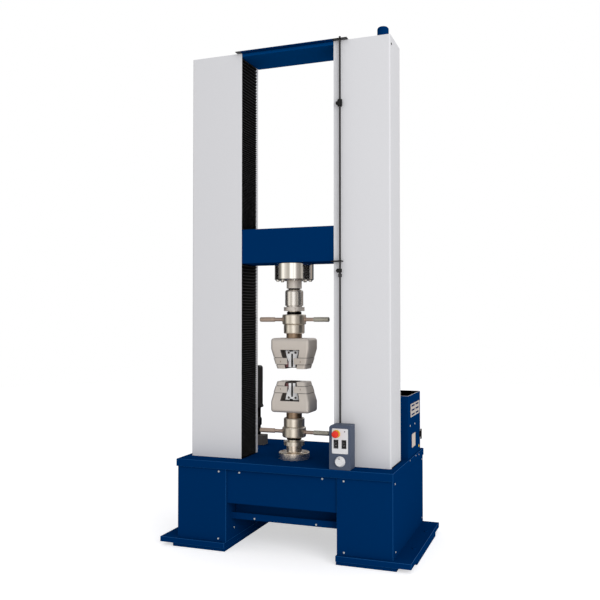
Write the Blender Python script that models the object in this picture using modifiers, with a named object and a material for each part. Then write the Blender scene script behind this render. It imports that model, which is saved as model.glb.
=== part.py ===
"""Floor-standing universal testing machine with wedge grips.

The machine stands on +Z up, with its front towards -Y. The origin is on the floor, under the
middle of the machine. All sizes are in metres. Pieces that repeat left and right are made by
one function with side = -1 for the left and side = 1 for the right.
"""
import math

import bmesh
import bpy
from mathutils import Matrix, Vector

# Clearances
SEAT_GAP = 0.0003
RUNNING_GAP = 0.0005
BELT_GAP = 0.0007

# Table and pedestals
TABLE_WIDTH = 1.0136
TABLE_DEPTH = 0.6750
TABLE_THICKNESS = 0.0340
TABLE_TOP = 0.3986
TABLE_EDGE_BEVEL = 0.0020
STOP_OVERHANG = 0.0267
SHEET = 0.0020
PEDESTAL_SIDE_INSET = 0.0030
PEDESTAL_FRONT_INSET = 0.0102
PEDESTAL_REAR_INSET = 0.0070
PEDESTAL_WIDTH = 0.2444
APRON_RECESS = 0.0080
APRON_HEIGHT = 0.1500
APRON_RETURN = 0.0250
PAN_RECESS = 0.0550
PAN_BOTTOM = 0.1340
PAN_LIP = 0.0600
PAN_DEPTH = 0.2300
REAR_PANEL_BOTTOM = 0.0600
REAR_PANEL_INSET = 0.0200
WINDOW_MARGIN = 0.0200

# Feet
PAD_HEIGHT = 0.0160
SLAB_THICKNESS = 0.0237
SLAB_OVERHANG = 0.0798
SLAB_FRONT_OVERHANG = 0.0204
SLAB_REAR_INSET = 0.0040
PAD_FRONT_WIDTH = 0.2618
PAD_FRONT_INSET = 0.0075
PAD_STEP_FROM_FRONT = 0.1235
PAD_WIDE_LENGTH = 0.4500
LEG_WIDTH = 0.0700
LEG_OUTER_INSET = 0.0320
LEG_FRONT_INSET = 0.0400
LEG_REAR_INSET = 0.0678

# Columns
COVER_SETBACK = 0.0933
COVER_WIDTH = 0.2550
COVER_SIDE_SETBACK = 0.02965
COVER_DEPTH = 0.1946
COVER_TOP = 2.2686
COVER_RETURN = 0.0150
COVER_EDGE_RADIUS = 0.0030
SCREW_INSET = 0.08785
SCREW_RADIUS = 0.0180
SCREW_END_ROOM = 0.0100
GUIDE_INSET = 0.18785
GUIDE_RADIUS = 0.0250
YOKE_DROP = 0.0155
YOKE_INSET = 0.0035
BEARING_RADIUS = 0.0450
BEARING_HEIGHT = 0.0400
TOP_PLATE_THICKNESS = 0.0055
TOP_PLATE_LEFT_LAP = 0.02395
TOP_PLATE_RIGHT_LAP = 0.06695
TOP_PLATE_FRONT_OVERHANG = 0.0240
BOSS_RADIUS = 0.0255
BOSS_HEIGHT = 0.0700
BOSS_INSET = 0.20035
BOSS_ROUNDING = 0.0140

# Bellows
PLEAT_PITCH = 0.0150
PLEAT_DEPTH = 0.0090
BELLOWS_BACKING = 0.0100
BELLOWS_PROUD = 0.0015
BELLOWS_SIDE_GAP = 0.0010

# Crosshead
CROSSHEAD_BOTTOM = 1.2946
CROSSHEAD_HEIGHT = 0.1566
CROSSHEAD_FRONT_INSET = 0.0040
CROSSHEAD_REAR_INSET = 0.0228
CROSSHEAD_END_MARGIN = 0.0450
NUT_BODY_RADIUS = 0.0350
NUT_FLANGE_RADIUS = 0.0500
NUT_FLANGE_HEIGHT = 0.0120
NUT_LENGTH = 0.1100

# Drive
TRAY_BOTTOM = 0.1650
TRAY_THICKNESS = 0.0120
TRAY_FRONT_INSET = 0.1500
TRAY_LENGTH = 0.3900
PULLEY_BOTTOM = 0.2620
PULLEY_HEIGHT = 0.0280
PULLEY_RADIUS = 0.0600
PULLEY_FLANGE = 0.0030
PULLEY_FLANGE_LIP = 0.0040
MOTOR_PULLEY_RADIUS = 0.0300
BELT_THICKNESS = 0.0040
MOTOR_SETBACK = 0.3900
MOTOR_SIZE = 0.1200
MOTOR_LENGTH = 0.1050
MOTOR_FLANGE_SIZE = 0.1400
MOTOR_FLANGE_HEIGHT = 0.0120
MOTOR_SHAFT_RADIUS = 0.0110
MOTOR_SHAFT_DEPTH = 0.0200

# Load cell and coupling
CELL_RADIUS = 0.0958
CELL_HEIGHT = 0.0771
CELL_CHAMFER = 0.0040
CELL_GROOVE_OUTER = 0.0640
CELL_GROOVE_INNER = 0.0440
CELL_GROOVE_DEPTH = 0.0080
CELL_BOLT_CIRCLE = 0.0800
CELL_BOLT_COUNT = 8
CELL_BOLT_RADIUS = 0.0075
CELL_BOLT_HEAD = 0.0060
STUD_RADIUS = 0.0350
STUD_LENGTH = 0.0371
STUD_SPIGOT_RADIUS = 0.0270
STUD_SPIGOT_LENGTH = 0.0380
COUPLING_RADIUS = 0.0427
COUPLING_TOP_GAP = 0.0055
COUPLING_LENGTH = 0.0742
COUPLING_SHOULDER = 0.0120
COUPLING_LIP_RADIUS = 0.0360
COUPLING_LIP_LENGTH = 0.0056

# Wedge grips, measured from the mouth of the grip body
UPPER_MOUTH = 0.8115
LOWER_MOUTH = 0.7525
GRIP_HEIGHT = 0.1400
GRIP_HALF_WIDTH = 0.0887
GRIP_HALF_DEPTH = 0.0580
MOUTH_HALF_WIDTH = 0.0655
MOUTH_HALF_DEPTH = 0.0435
GRIP_SHOULDER = 0.0935
GRIP_ROUNDING = 0.0100
POCKET_TOP = 0.0875
POCKET_HALF_WIDTH = 0.0440
POCKET_ANGLE = math.radians(13.0)
POCKET_BACK = 0.0350
JAW_FRONT = 0.0355
JAW_HALF_GAP = 0.0035
JAW_BOTTOM = 0.0070
JAW_TOP = 0.0835
JAW_WALL_GAP = 0.0004
JAW_HOLE_RADIUS = 0.0045
JAW_HOLE_DEPTH = 0.0060
JAW_HOLE_X = 0.0160
JAW_HOLE_HEIGHT = 0.0745
JAW_TRAVEL = 0.0140
STRAP_BOTTOM = 0.0205
STRAP_HEIGHT = 0.0290
STRAP_THICKNESS = 0.0055
STRAP_PROUD = 0.0008
STRAP_FRONT_GAP = 0.0470

# Spindle, collar and tommy bars of a grip
SPINDLE_RADIUS = 0.0300
STEM_RADIUS = 0.0360
SHOULDER_RADIUS = 0.0500
SHOULDER_LENGTH = 0.0415
COLLAR_RADIUS = 0.0562
COLLAR_LENGTH = 0.0465
EDGE_CHAMFER = 0.0040
SEAL_RADIUS = 0.0340
SEAL_HEIGHT = 0.0115
RING_NUT_RADIUS = 0.0490
RING_NUT_HEIGHT = 0.0180
SPANNER_HOLE_RADIUS = 0.0030
SPANNER_HOLE_DEPTH = 0.0080
UPPER_STEM_LENGTH = 0.0200
LOWER_STEM_LENGTH = 0.0265
BAR_ROD_RADIUS = 0.0065
BAR_GRIP_RADIUS = 0.0095
BAR_GRIP_START = 0.0963
BAR_REACH = 0.1700

# Lower flange
FLANGE_RADIUS = 0.0720
FLANGE_HEIGHT = 0.0301
FLANGE_BOLT_CIRCLE = 0.0550
FLANGE_BOLT_COUNT = 4
FLANGE_HOLE_RADIUS = 0.0070
FLANGE_HOLE_DEPTH = 0.0100
FLANGE_NECK_TOP = 0.4600

# Limit rod and its stops
ROD_INSET = 0.03305
ROD_FRONT_OFFSET = 0.0140
ROD_RADIUS = 0.0045
ROD_ABOVE_COVER = 0.0129
ROD_SINK = 0.0200
UPPER_STOP_DROP = 0.2816
UPPER_STOP_HEIGHT = 0.0320
STOP_COLLAR_RADIUS = 0.0110
STOP_KNOB_RADIUS = 0.0095
STOP_KNOB_REACH = 0.0185
LOWER_STOP_Z = 1.2500
LOWER_STOP_HEIGHT = 0.0200
LOWER_RING_DROP = 0.0210
LOWER_RING_RADIUS = 0.0080
LOWER_RING_HEIGHT = 0.0150
TRIP_ARM_THICKNESS = 0.0050
TRIP_ARM_NECK = 0.0077
TRIP_ARM_NOSE = 0.0118
TRIP_ARM_WIDTH = 0.0200

# Control box
BOX_INSET = 0.00665
BOX_WIDTH = 0.0946
BOX_DEPTH = 0.0725
BOX_HEIGHT = 0.1890
BOX_WALL = 0.0030
BOX_ROUNDING = 0.0060
PANEL_MARGIN_SIDE = 0.0095
PANEL_TOP_MARGIN = 0.0140
PANEL_HEIGHT = 0.1060
PANEL_THICKNESS = 0.0015
STOP_HEAD_RADIUS = 0.0150
STOP_HEAD_THICKNESS = 0.0120
STOP_TRAVEL_ROOM = 0.0060
STOP_STEM_RADIUS = 0.0070
STOP_FROM_LEFT = 0.0337
STOP_Z = 0.5515
ROCKER_WIDTH = 0.0150
ROCKER_HEIGHT = 0.0310
ROCKER_Z = 0.5085
ROCKERS_FROM_LEFT = (0.0324, 0.0677)
ROCKER_PROUD = 0.0035
ROCKER_DEPTH = 0.0080
ROCKER_WINDOW_GAP = 0.0012
ROCKER_PIN_RADIUS = 0.0012
KNOB_RADIUS = 0.0225
KNOB_LENGTH = 0.0160
KNOB_SHAFT_RADIUS = 0.0050
KNOB_FROM_LEFT = 0.0502
KNOB_Z = 0.4350

# Electronics cabinet
CABINET_SIDE_SETBACK = 0.0068
CABINET_WIDTH = 0.3100
CABINET_FRONT_SETBACK = 0.3491
CABINET_DEPTH = 0.2740
CABINET_HEIGHT = 0.2870
VENT_FRONT = 0.0380
VENT_LENGTH = 0.2010
VENT_BOTTOM = 0.1854
VENT_HEIGHT = 0.0606
VENT_THICKNESS = 0.0030
VENT_ROWS = 3
VENT_SLOTS = 2
SLOT_HEIGHT = 0.0080
SLOT_SHARE = 0.8
ISOLATOR_SETBACK = 0.2580
ISOLATOR_Z = 0.4780
ISOLATOR_RADIUS = 0.0150
ISOLATOR_LENGTH = 0.0045
ISOLATOR_BAR_LENGTH = 0.0500
ISOLATOR_BAR_WIDTH = 0.0120
ISOLATOR_BAR_HEIGHT = 0.0050
ISOLATOR_SHAFT_RADIUS = 0.0050

# Stand behind the left column
STAND_SIDE_SETBACK = 0.2018
STAND_SETBACK = 0.4933
STAND_BLOCK_WIDTH = 0.0740
STAND_BLOCK_DEPTH = 0.0600
STAND_BLOCK_HEIGHT = 0.0500
STAND_POST_RADIUS = 0.0090
STAND_HOUSING_WIDTH = 0.0340
STAND_HOUSING_DEPTH = 0.0400
STAND_HOUSING_BOTTOM = 0.5880
STAND_HOUSING_HEIGHT = 0.2140
STAND_CLAMP_BOTTOM = 0.4970
STAND_CLAMP_HEIGHT = 0.0450
STAND_CLAMP_RADIUS = 0.0140

# Facets of round pieces
ROUND_STEPS = 32
SMALL_STEPS = 16
FASTENER_STEPS = 10

# Places worked out from the sizes above
REAR = (TABLE_DEPTH + STOP_OVERHANG) / 2
TABLE_FRONT = REAR - TABLE_DEPTH
TABLE_BOTTOM = TABLE_TOP - TABLE_THICKNESS
COVER_FRONT = TABLE_FRONT + COVER_SETBACK
COVER_REAR = COVER_FRONT + COVER_DEPTH
COVER_BOTTOM = TABLE_TOP + SEAT_GAP
LOAD_Y = COVER_FRONT + COVER_DEPTH / 2
COVER_OUTER = TABLE_WIDTH / 2 - COVER_SIDE_SETBACK
COVER_INNER = COVER_OUTER - COVER_WIDTH
SCREW_X = COVER_INNER + SCREW_INSET
GUIDE_X = COVER_INNER + GUIDE_INSET
YOKE_BOTTOM = COVER_TOP - YOKE_DROP
PEDESTAL_OUTER = TABLE_WIDTH / 2 - PEDESTAL_SIDE_INSET
PEDESTAL_INNER = PEDESTAL_OUTER - PEDESTAL_WIDTH
PEDESTAL_FRONT = TABLE_FRONT + PEDESTAL_FRONT_INSET
PEDESTAL_REAR = REAR - PEDESTAL_REAR_INSET
SLAB_TOP = PAD_HEIGHT + SLAB_THICKNESS
SLAB_FRONT = PEDESTAL_FRONT - SLAB_FRONT_OVERHANG
CROSSHEAD_TOP = CROSSHEAD_BOTTOM + CROSSHEAD_HEIGHT
CROSSHEAD_FRONT = COVER_FRONT + CROSSHEAD_FRONT_INSET
CROSSHEAD_REAR = COVER_REAR - CROSSHEAD_REAR_INSET
BELLOWS_FRONT = COVER_FRONT + SHEET + BELLOWS_SIDE_GAP
BELLOWS_REAR = COVER_REAR - COVER_RETURN
YOKE_TOP = COVER_TOP - SHEET - SEAT_GAP
CELL_TOP = CROSSHEAD_BOTTOM - SEAT_GAP
CELL_BOTTOM = CELL_TOP - CELL_HEIGHT
STUD_TOP = CELL_BOTTOM - SEAT_GAP
STUD_BOTTOM = STUD_TOP - STUD_LENGTH
COUPLING_TOP = STUD_BOTTOM - COUPLING_TOP_GAP
COUPLING_BOTTOM = COUPLING_TOP - COUPLING_LENGTH
ROD_X = COVER_INNER + ROD_INSET
ROD_Y = COVER_FRONT - ROD_FRONT_OFFSET
ROD_TOP = COVER_TOP + ROD_ABOVE_COVER
UPPER_STOP_Z = COVER_TOP - UPPER_STOP_DROP
BOX_LEFT = COVER_INNER + BOX_INSET
STOP_X = BOX_LEFT + STOP_FROM_LEFT
KNOB_X = BOX_LEFT + KNOB_FROM_LEFT
ROCKER_X = tuple(BOX_LEFT + step for step in ROCKERS_FROM_LEFT)
BOX_FRONT = TABLE_FRONT
BOX_BOTTOM = TABLE_TOP + SEAT_GAP
CABINET_FRONT = TABLE_FRONT + CABINET_FRONT_SETBACK
CABINET_RIGHT = TABLE_WIDTH / 2 - CABINET_SIDE_SETBACK
CABINET_LEFT = CABINET_RIGHT - CABINET_WIDTH
MOTOR_Y = TABLE_FRONT + MOTOR_SETBACK
TRAY_TOP = TRAY_BOTTOM + TRAY_THICKNESS

# Colours as linear RGB, with roughness and metallic
BLUE = ("deep_blue_paint", (0.003, 0.022, 0.100), 0.45, 0.0)
GREY_PAINT = ("light_grey_paint", (0.640, 0.640, 0.650), 0.50, 0.0)
STEEL = ("nickel_plated_steel", (0.600, 0.570, 0.530), 0.30, 1.0)
BRIGHT_STEEL = ("ground_steel", (0.800, 0.780, 0.740), 0.20, 1.0)
DARK_STEEL = ("dark_steel", (0.080, 0.075, 0.070), 0.40, 1.0)
BLACK_RUBBER = ("black_bellows_cloth", (0.008, 0.008, 0.009), 0.70, 0.0)
BLACK_PLASTIC = ("black_plastic", (0.010, 0.010, 0.012), 0.45, 0.0)
BOX_GREY = ("slate_grey_plastic", (0.060, 0.076, 0.110), 0.50, 0.0)
WHITE_PLASTIC = ("white_plastic", (0.780, 0.780, 0.780), 0.40, 0.0)
RED_PLASTIC = ("red_plastic", (0.600, 0.030, 0.012), 0.35, 0.0)
ALUMINIUM = ("aluminium", (0.620, 0.620, 0.630), 0.35, 1.0)


def clear_scene():
    """Remove what a new file holds."""
    for item in list(bpy.data.objects):
        bpy.data.objects.remove(item, do_unlink=True)


def make_collection(name):
    """A collection linked to the scene."""
    group = bpy.data.collections.new(name)
    bpy.context.scene.collection.children.link(group)
    return group


def make_material(finish):
    """The Principled material of one finish, made once."""
    name, colour, roughness, metallic = finish
    found = bpy.data.materials.get(name)
    if found:
        return found
    material = bpy.data.materials.new(name)
    material.use_nodes = True
    shader = material.node_tree.nodes["Principled BSDF"]
    shader.inputs["Base Color"].default_value = (*colour, 1.0)
    shader.inputs["Roughness"].default_value = roughness
    shader.inputs["Metallic"].default_value = metallic
    material.diffuse_color = (*colour, 1.0)
    return material


def add_piece(name, mesh, finish, origin=(0.0, 0.0, 0.0)):
    """Link a sub-part whose mesh is drawn about its origin."""
    mesh.name = name
    if not mesh.materials:
        mesh.materials.append(make_material(finish))
    piece = bpy.data.objects.new(name, mesh)
    piece.location = origin
    PARTS.objects.link(piece)
    return piece


def add_cutter(name, mesh, origin=(0.0, 0.0, 0.0)):
    """Link a solid that only cuts or joins another."""
    cutter = bpy.data.objects.new(name, mesh)
    cutter.location = origin
    cutter.hide_render = True
    cutter.display_type = "WIRE"
    CUTTERS.objects.link(cutter)
    return cutter


def combine(piece, operation, mesh, label):
    """Cut a mesh from a piece, or join it, with an exact Boolean."""
    cutter = add_cutter(f"{piece.name}_{label}", mesh, piece.location)
    modifier = piece.modifiers.new(label, "BOOLEAN")
    modifier.operation = operation
    modifier.solver = "EXACT"
    modifier.object = cutter
    return cutter


def bevel(piece, width, segments=1, angle=40.0):
    """Round the sharp edges of a piece."""
    modifier = piece.modifiers.new("edge_rounding", "BEVEL")
    modifier.width = width
    modifier.segments = segments
    modifier.limit_method = "ANGLE"
    modifier.angle_limit = math.radians(angle)
    return modifier


def mesh_from(builder):
    """Run a function on an empty bmesh and keep the result as a mesh."""
    shape = bmesh.new()
    builder(shape)
    bmesh.ops.recalc_face_normals(shape, faces=shape.faces)
    mesh = bpy.data.meshes.new("shape")
    shape.to_mesh(mesh)
    shape.free()
    return mesh


def add_box(shape, low, high):
    """A box between two corners, added to a bmesh."""
    low = Vector(low)
    high = Vector(high)
    size = high - low
    place = Matrix.Translation((low + high) / 2) @ Matrix.Diagonal((*size, 1.0))
    return bmesh.ops.create_cube(shape, size=1.0, matrix=place)["verts"]


def box_mesh(*corner_pairs):
    """A mesh of one or more boxes, each given by its two corners."""
    def build(shape):
        for low, high in corner_pairs:
            add_box(shape, low, high)
    return mesh_from(build)


def add_cylinder(shape, centre, radius, length, axis="Z", steps=ROUND_STEPS):
    """A cylinder centred on a point, added to a bmesh."""
    turn = {"X": Matrix.Rotation(math.pi / 2, 4, "Y"), "Y": Matrix.Rotation(math.pi / 2, 4, "X"),
            "Z": Matrix.Identity(4)}[axis]
    bmesh.ops.create_cone(shape, cap_ends=True, segments=steps, radius1=radius, radius2=radius,
                          depth=length, matrix=Matrix.Translation(centre) @ turn)


def cylinder_mesh(centre, radius, length, axis="Z", steps=ROUND_STEPS):
    """A mesh of one cylinder."""
    return mesh_from(lambda shape: add_cylinder(shape, centre, radius, length, axis, steps))


def cylinder_ring_mesh(count, circle, radius, low, high, steps=FASTENER_STEPS, start=0.0):
    """Equal cylinders on a circle about the Z axis, from one height to another."""
    def build(shape):
        for index in range(count):
            angle = start + 2 * math.pi * index / count
            centre = (circle * math.cos(angle), circle * math.sin(angle), (low + high) / 2)
            add_cylinder(shape, centre, radius, high - low, "Z", steps)
    return mesh_from(build)


def prism_mesh(outline, low, high, axis="Z"):
    """A flat outline drawn out along an axis. The outline's points are in the other two axes."""
    def place(u, v, w):
        return {"Z": (u, v, w), "Y": (u, w, v), "X": (w, u, v)}[axis]

    def build(shape):
        face = shape.faces.new([shape.verts.new(place(u, v, low)) for u, v in outline])
        result = bmesh.ops.extrude_face_region(shape, geom=[face])
        moved = [item for item in result["geom"] if isinstance(item, bmesh.types.BMVert)]
        bmesh.ops.translate(shape, verts=moved, vec=Vector(place(0, 0, high - low)))
    return mesh_from(build)


def turned_mesh(profile):
    """The open or closed profile of a turned piece, as (radius, height) pairs."""
    mesh = bpy.data.meshes.new("profile")
    points = [(radius, 0.0, height) for radius, height in profile]
    edges = [(index, index + 1) for index in range(len(points) - 1)]
    if profile[0][0] > 0 and profile[-1][0] > 0:
        edges.append((len(points) - 1, 0))
    mesh.from_pydata(points, edges, [])
    return mesh


def add_turned(name, profile, finish, origin, steps=ROUND_STEPS):
    """A piece turned about the Z axis through its origin. The profile's outer side runs down."""
    piece = add_piece(name, turned_mesh(profile), finish, origin)
    screw = piece.modifiers.new("turning", "SCREW")
    screw.axis = "Z"
    screw.steps = steps
    screw.render_steps = steps
    screw.use_merge_vertices = True
    screw.merge_threshold = 0.00001
    return piece


def add_box_piece(name, low, high, finish, origin=None):
    """A box placed by its two corners in world space."""
    if origin is None:
        origin = (Vector(low) + Vector(high)) / 2
    origin = Vector(origin)
    return add_piece(name, box_mesh((Vector(low) - origin, Vector(high) - origin)), finish, origin)


def folded_sheet(name, path, low, high, thickness, finish, closed=False, axis="Z", outward=False):
    """A sheet bent along a path and drawn out along an axis."""
    def place(u, v, w):
        return {"Z": (u, v, w), "X": (w, u, v)}[axis]

    mesh = bpy.data.meshes.new(name)
    count = len(path)
    points = [place(u, v, w) for w in (low, high) for u, v in path]
    runs = count if closed else count - 1
    faces = [(i, (i + 1) % count, (i + 1) % count + count, i + count) for i in range(runs)]
    mesh.from_pydata(points, [], faces)
    piece = add_piece(name, mesh, finish)
    solidify = piece.modifiers.new("sheet", "SOLIDIFY")
    solidify.thickness = thickness
    solidify.offset = 1.0 if outward else -1.0
    solidify.use_even_offset = True
    return piece


def signed(low_x, high_x, side):
    """Two X values mirrored for a side, the lower one first."""
    return sorted((low_x * side, high_x * side))


# Base
def make_foot_frame(name, side):
    """Slab with its pads below and the upright leg welded on top."""
    slab_outer = PEDESTAL_OUTER + SLAB_OVERHANG
    slab_rear = PEDESTAL_REAR - SLAB_REAR_INSET
    low_x, high_x = signed(PEDESTAL_INNER, slab_outer, side)
    piece = add_box_piece(name, (low_x, SLAB_FRONT, PAD_HEIGHT), (high_x, slab_rear, SLAB_TOP), BLUE)
    centre = piece.location
    pad_front = SLAB_FRONT + PAD_FRONT_INSET
    step = SLAB_FRONT + PAD_STEP_FROM_FRONT
    narrow = PEDESTAL_INNER + PAD_FRONT_WIDTH
    outline = [(PEDESTAL_INNER, pad_front), (narrow, pad_front), (narrow, step), (slab_outer, step),
               (slab_outer, step + PAD_WIDE_LENGTH), (narrow, step + PAD_WIDE_LENGTH),
               (narrow, slab_rear), (PEDESTAL_INNER, slab_rear)]
    shifted = [(x * side - centre.x, y - centre.y) for x, y in outline]
    overlap = SLAB_THICKNESS / 2
    pads = prism_mesh(shifted, -centre.z, PAD_HEIGHT + overlap - centre.z)
    combine(piece, "UNION", pads, "pads")
    leg_outer = PEDESTAL_OUTER - LEG_OUTER_INSET
    leg_low, leg_high = signed(leg_outer - LEG_WIDTH, leg_outer, side)
    leg_front = PEDESTAL_FRONT + LEG_FRONT_INSET
    leg_rear = PEDESTAL_REAR - LEG_REAR_INSET
    leg = box_mesh((Vector((leg_low, leg_front, PAD_HEIGHT + overlap)) - centre,
                    Vector((leg_high, leg_rear, TABLE_BOTTOM - SEAT_GAP)) - centre))
    combine(piece, "UNION", leg, "leg")
    return piece


def make_pedestal_cover(name, side):
    """Sheet tube round a leg, with its inner wall cut away above the cross panel."""
    path = [(PEDESTAL_INNER, PEDESTAL_FRONT), (PEDESTAL_OUTER, PEDESTAL_FRONT),
            (PEDESTAL_OUTER, PEDESTAL_REAR), (PEDESTAL_INNER, PEDESTAL_REAR)]
    path = [(x * side, y) for x, y in path]
    piece = folded_sheet(name, path, SLAB_TOP + SEAT_GAP, TABLE_BOTTOM - SEAT_GAP, SHEET, BLUE,
                         closed=True, outward=side < 0)
    low_x, high_x = signed(PEDESTAL_INNER - WINDOW_MARGIN, PEDESTAL_INNER + WINDOW_MARGIN, side)
    window = box_mesh(((low_x, PEDESTAL_FRONT + APRON_RECESS + APRON_RETURN, PAN_BOTTOM),
                       (high_x, PEDESTAL_REAR - REAR_PANEL_INSET - WINDOW_MARGIN, TABLE_TOP)))
    combine(piece, "DIFFERENCE", window, "belt_window")
    return piece


def make_front_apron():
    """Panel between the pedestals with a return along its lower edge."""
    front = PEDESTAL_FRONT + APRON_RECESS
    top = TABLE_BOTTOM - SEAT_GAP
    bottom = top - APRON_HEIGHT
    half = PEDESTAL_INNER - SEAT_GAP
    path = [(front, top), (front, bottom), (front + APRON_RETURN, bottom)]
    return folded_sheet("front_apron", path, -half, half, SHEET, BLUE, axis="X", outward=True)


def make_belly_pan():
    """Cross panel behind the apron: an upright lip and a floor."""
    front = PEDESTAL_FRONT + PAN_RECESS
    half = PEDESTAL_INNER - SEAT_GAP
    path = [(front, PAN_BOTTOM + PAN_LIP), (front, PAN_BOTTOM), (front + PAN_DEPTH, PAN_BOTTOM)]
    return folded_sheet("belly_pan", path, -half, half, SHEET, BLUE, axis="X", outward=True)


def make_rear_panel():
    """Flat sheet that closes the base between the pedestals at the rear."""
    rear = PEDESTAL_REAR - REAR_PANEL_INSET
    half = PEDESTAL_INNER - SEAT_GAP
    return add_box_piece("rear_panel", (-half, rear - SHEET, REAR_PANEL_BOTTOM),
                         (half, rear, TABLE_BOTTOM - SEAT_GAP), BLUE)


def make_table_plate():
    """Table with bearing bosses below, and holes for the ball screws and the limit rod."""
    low = (-TABLE_WIDTH / 2, TABLE_FRONT, TABLE_BOTTOM)
    high = (TABLE_WIDTH / 2, REAR, TABLE_TOP)
    piece = add_box_piece("table_plate", low, high, BLUE)
    bevel(piece, TABLE_EDGE_BEVEL)
    centre = piece.location
    boss_low = TABLE_BOTTOM - BEARING_HEIGHT
    overlap = TABLE_THICKNESS / 2

    def bosses(shape):
        for x in (-SCREW_X, SCREW_X):
            middle = Vector((x, LOAD_Y, (boss_low + TABLE_BOTTOM + overlap) / 2)) - centre
            add_cylinder(shape, middle, BEARING_RADIUS, BEARING_HEIGHT + overlap, "Z", ROUND_STEPS)

    def holes(shape):
        length = TABLE_TOP - boss_low + 2 * overlap
        for x in (-SCREW_X, SCREW_X):
            middle = Vector((x, LOAD_Y, (boss_low + TABLE_TOP) / 2)) - centre
            add_cylinder(shape, middle, SCREW_RADIUS + RUNNING_GAP, length, "Z", ROUND_STEPS)
        middle = Vector((ROD_X, ROD_Y, TABLE_TOP)) - centre
        add_cylinder(shape, middle, ROD_RADIUS + RUNNING_GAP, 3 * TABLE_THICKNESS, "Z", SMALL_STEPS)

    combine(piece, "UNION", mesh_from(bosses), "bearing_bosses")
    combine(piece, "DIFFERENCE", mesh_from(holes), "screw_holes")
    return piece


# Columns
def make_column_cover(name, side):
    """C-shaped sheet with its slot on the inner side, and a cap on top."""
    path = [(COVER_INNER, COVER_FRONT), (COVER_OUTER, COVER_FRONT), (COVER_OUTER, COVER_REAR),
            (COVER_INNER, COVER_REAR), (COVER_INNER, COVER_REAR - COVER_RETURN)]
    path = [(x * side, y) for x, y in path]
    piece = folded_sheet(name, path, COVER_BOTTOM, COVER_TOP, SHEET, GREY_PAINT, outward=side < 0)
    bite = SHEET / 2
    low_x, high_x = signed(COVER_INNER + bite, COVER_OUTER - bite, side)
    cap = box_mesh(((low_x, COVER_FRONT + bite, COVER_TOP - SHEET),
                    (high_x, COVER_REAR - bite, COVER_TOP - bite / 2)))
    combine(piece, "UNION", cap, "cap")
    return piece


def make_guide_column(name, side):
    """Round column from the table to the yoke."""
    low = TABLE_TOP + SEAT_GAP
    high = YOKE_BOTTOM - SEAT_GAP
    profile = [(0.0, high), (GUIDE_RADIUS, high), (GUIDE_RADIUS, low), (0.0, low)]
    return add_turned(name, profile, BRIGHT_STEEL, (side * GUIDE_X, LOAD_Y, 0.0))


def make_top_yoke():
    """Plate across both columns, thicker between them, with the screws' upper bearing bosses."""
    half = COVER_OUTER - SHEET - YOKE_INSET
    low = (-half, COVER_FRONT + YOKE_INSET, YOKE_BOTTOM)
    high = (half, COVER_REAR - COVER_RETURN - SEAT_GAP, YOKE_TOP)
    piece = add_box_piece("top_yoke", low, high, BLUE)
    centre = piece.location
    middle_half = COVER_INNER - SEAT_GAP
    middle = box_mesh((Vector((-middle_half, COVER_FRONT, YOKE_BOTTOM)) - centre,
                       Vector((middle_half, COVER_REAR, COVER_TOP)) - centre))
    combine(piece, "UNION", middle, "middle")

    def bosses(shape):
        overlap = (YOKE_TOP - YOKE_BOTTOM) / 2
        for side in (-1, 1):
            height = YOKE_BOTTOM + (overlap - BEARING_HEIGHT) / 2
            place = Vector((side * SCREW_X, LOAD_Y, height)) - centre
            add_cylinder(shape, place, BEARING_RADIUS, BEARING_HEIGHT + overlap, "Z", SMALL_STEPS)

    def holes(shape):
        for side in (-1, 1):
            place = Vector((side * SCREW_X, LOAD_Y, YOKE_BOTTOM - BEARING_HEIGHT))
            bore = SCREW_RADIUS + RUNNING_GAP
            add_cylinder(shape, place - centre, bore, 2 * BEARING_HEIGHT, "Z", ROUND_STEPS)

    combine(piece, "UNION", mesh_from(bosses), "bearing_bosses")
    combine(piece, "DIFFERENCE", mesh_from(holes), "screw_ends")
    return piece


def make_top_plate():
    """Thin dark plate over the yoke that also guides the limit rod."""
    low_z = COVER_TOP + SEAT_GAP
    low = (-COVER_INNER - TOP_PLATE_LEFT_LAP, COVER_FRONT - TOP_PLATE_FRONT_OVERHANG, low_z)
    high = (COVER_INNER + TOP_PLATE_RIGHT_LAP, COVER_REAR, low_z + TOP_PLATE_THICKNESS)
    piece = add_box_piece("top_plate", low, high, BLACK_PLASTIC)
    place = Vector((ROD_X, ROD_Y, low_z)) - piece.location
    hole = cylinder_mesh(place, ROD_RADIUS + RUNNING_GAP, 4 * TOP_PLATE_THICKNESS, "Z", SMALL_STEPS)
    combine(piece, "DIFFERENCE", hole, "rod_hole")
    return piece


def rounded_top(radius, high, rounding, steps=3):
    """Profile points of a quarter round at the top of a turned piece."""
    points = []
    for step in range(steps + 1):
        angle = math.pi / 2 * (1 - step / steps)
        points.append((radius - rounding + rounding * math.cos(angle),
                       high - rounding + rounding * math.sin(angle)))
    return points


def make_top_boss():
    """Round blue boss that stands on the right column."""
    high = COVER_TOP + SEAT_GAP + BOSS_HEIGHT
    low = COVER_TOP + SEAT_GAP
    profile = [(0.0, high)] + rounded_top(BOSS_RADIUS, high, BOSS_ROUNDING)
    profile += [(BOSS_RADIUS, low), (0.0, low)]
    return add_turned("top_boss", profile, BLUE, (COVER_INNER + BOSS_INSET, LOAD_Y, 0.0),
                      SMALL_STEPS)


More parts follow.
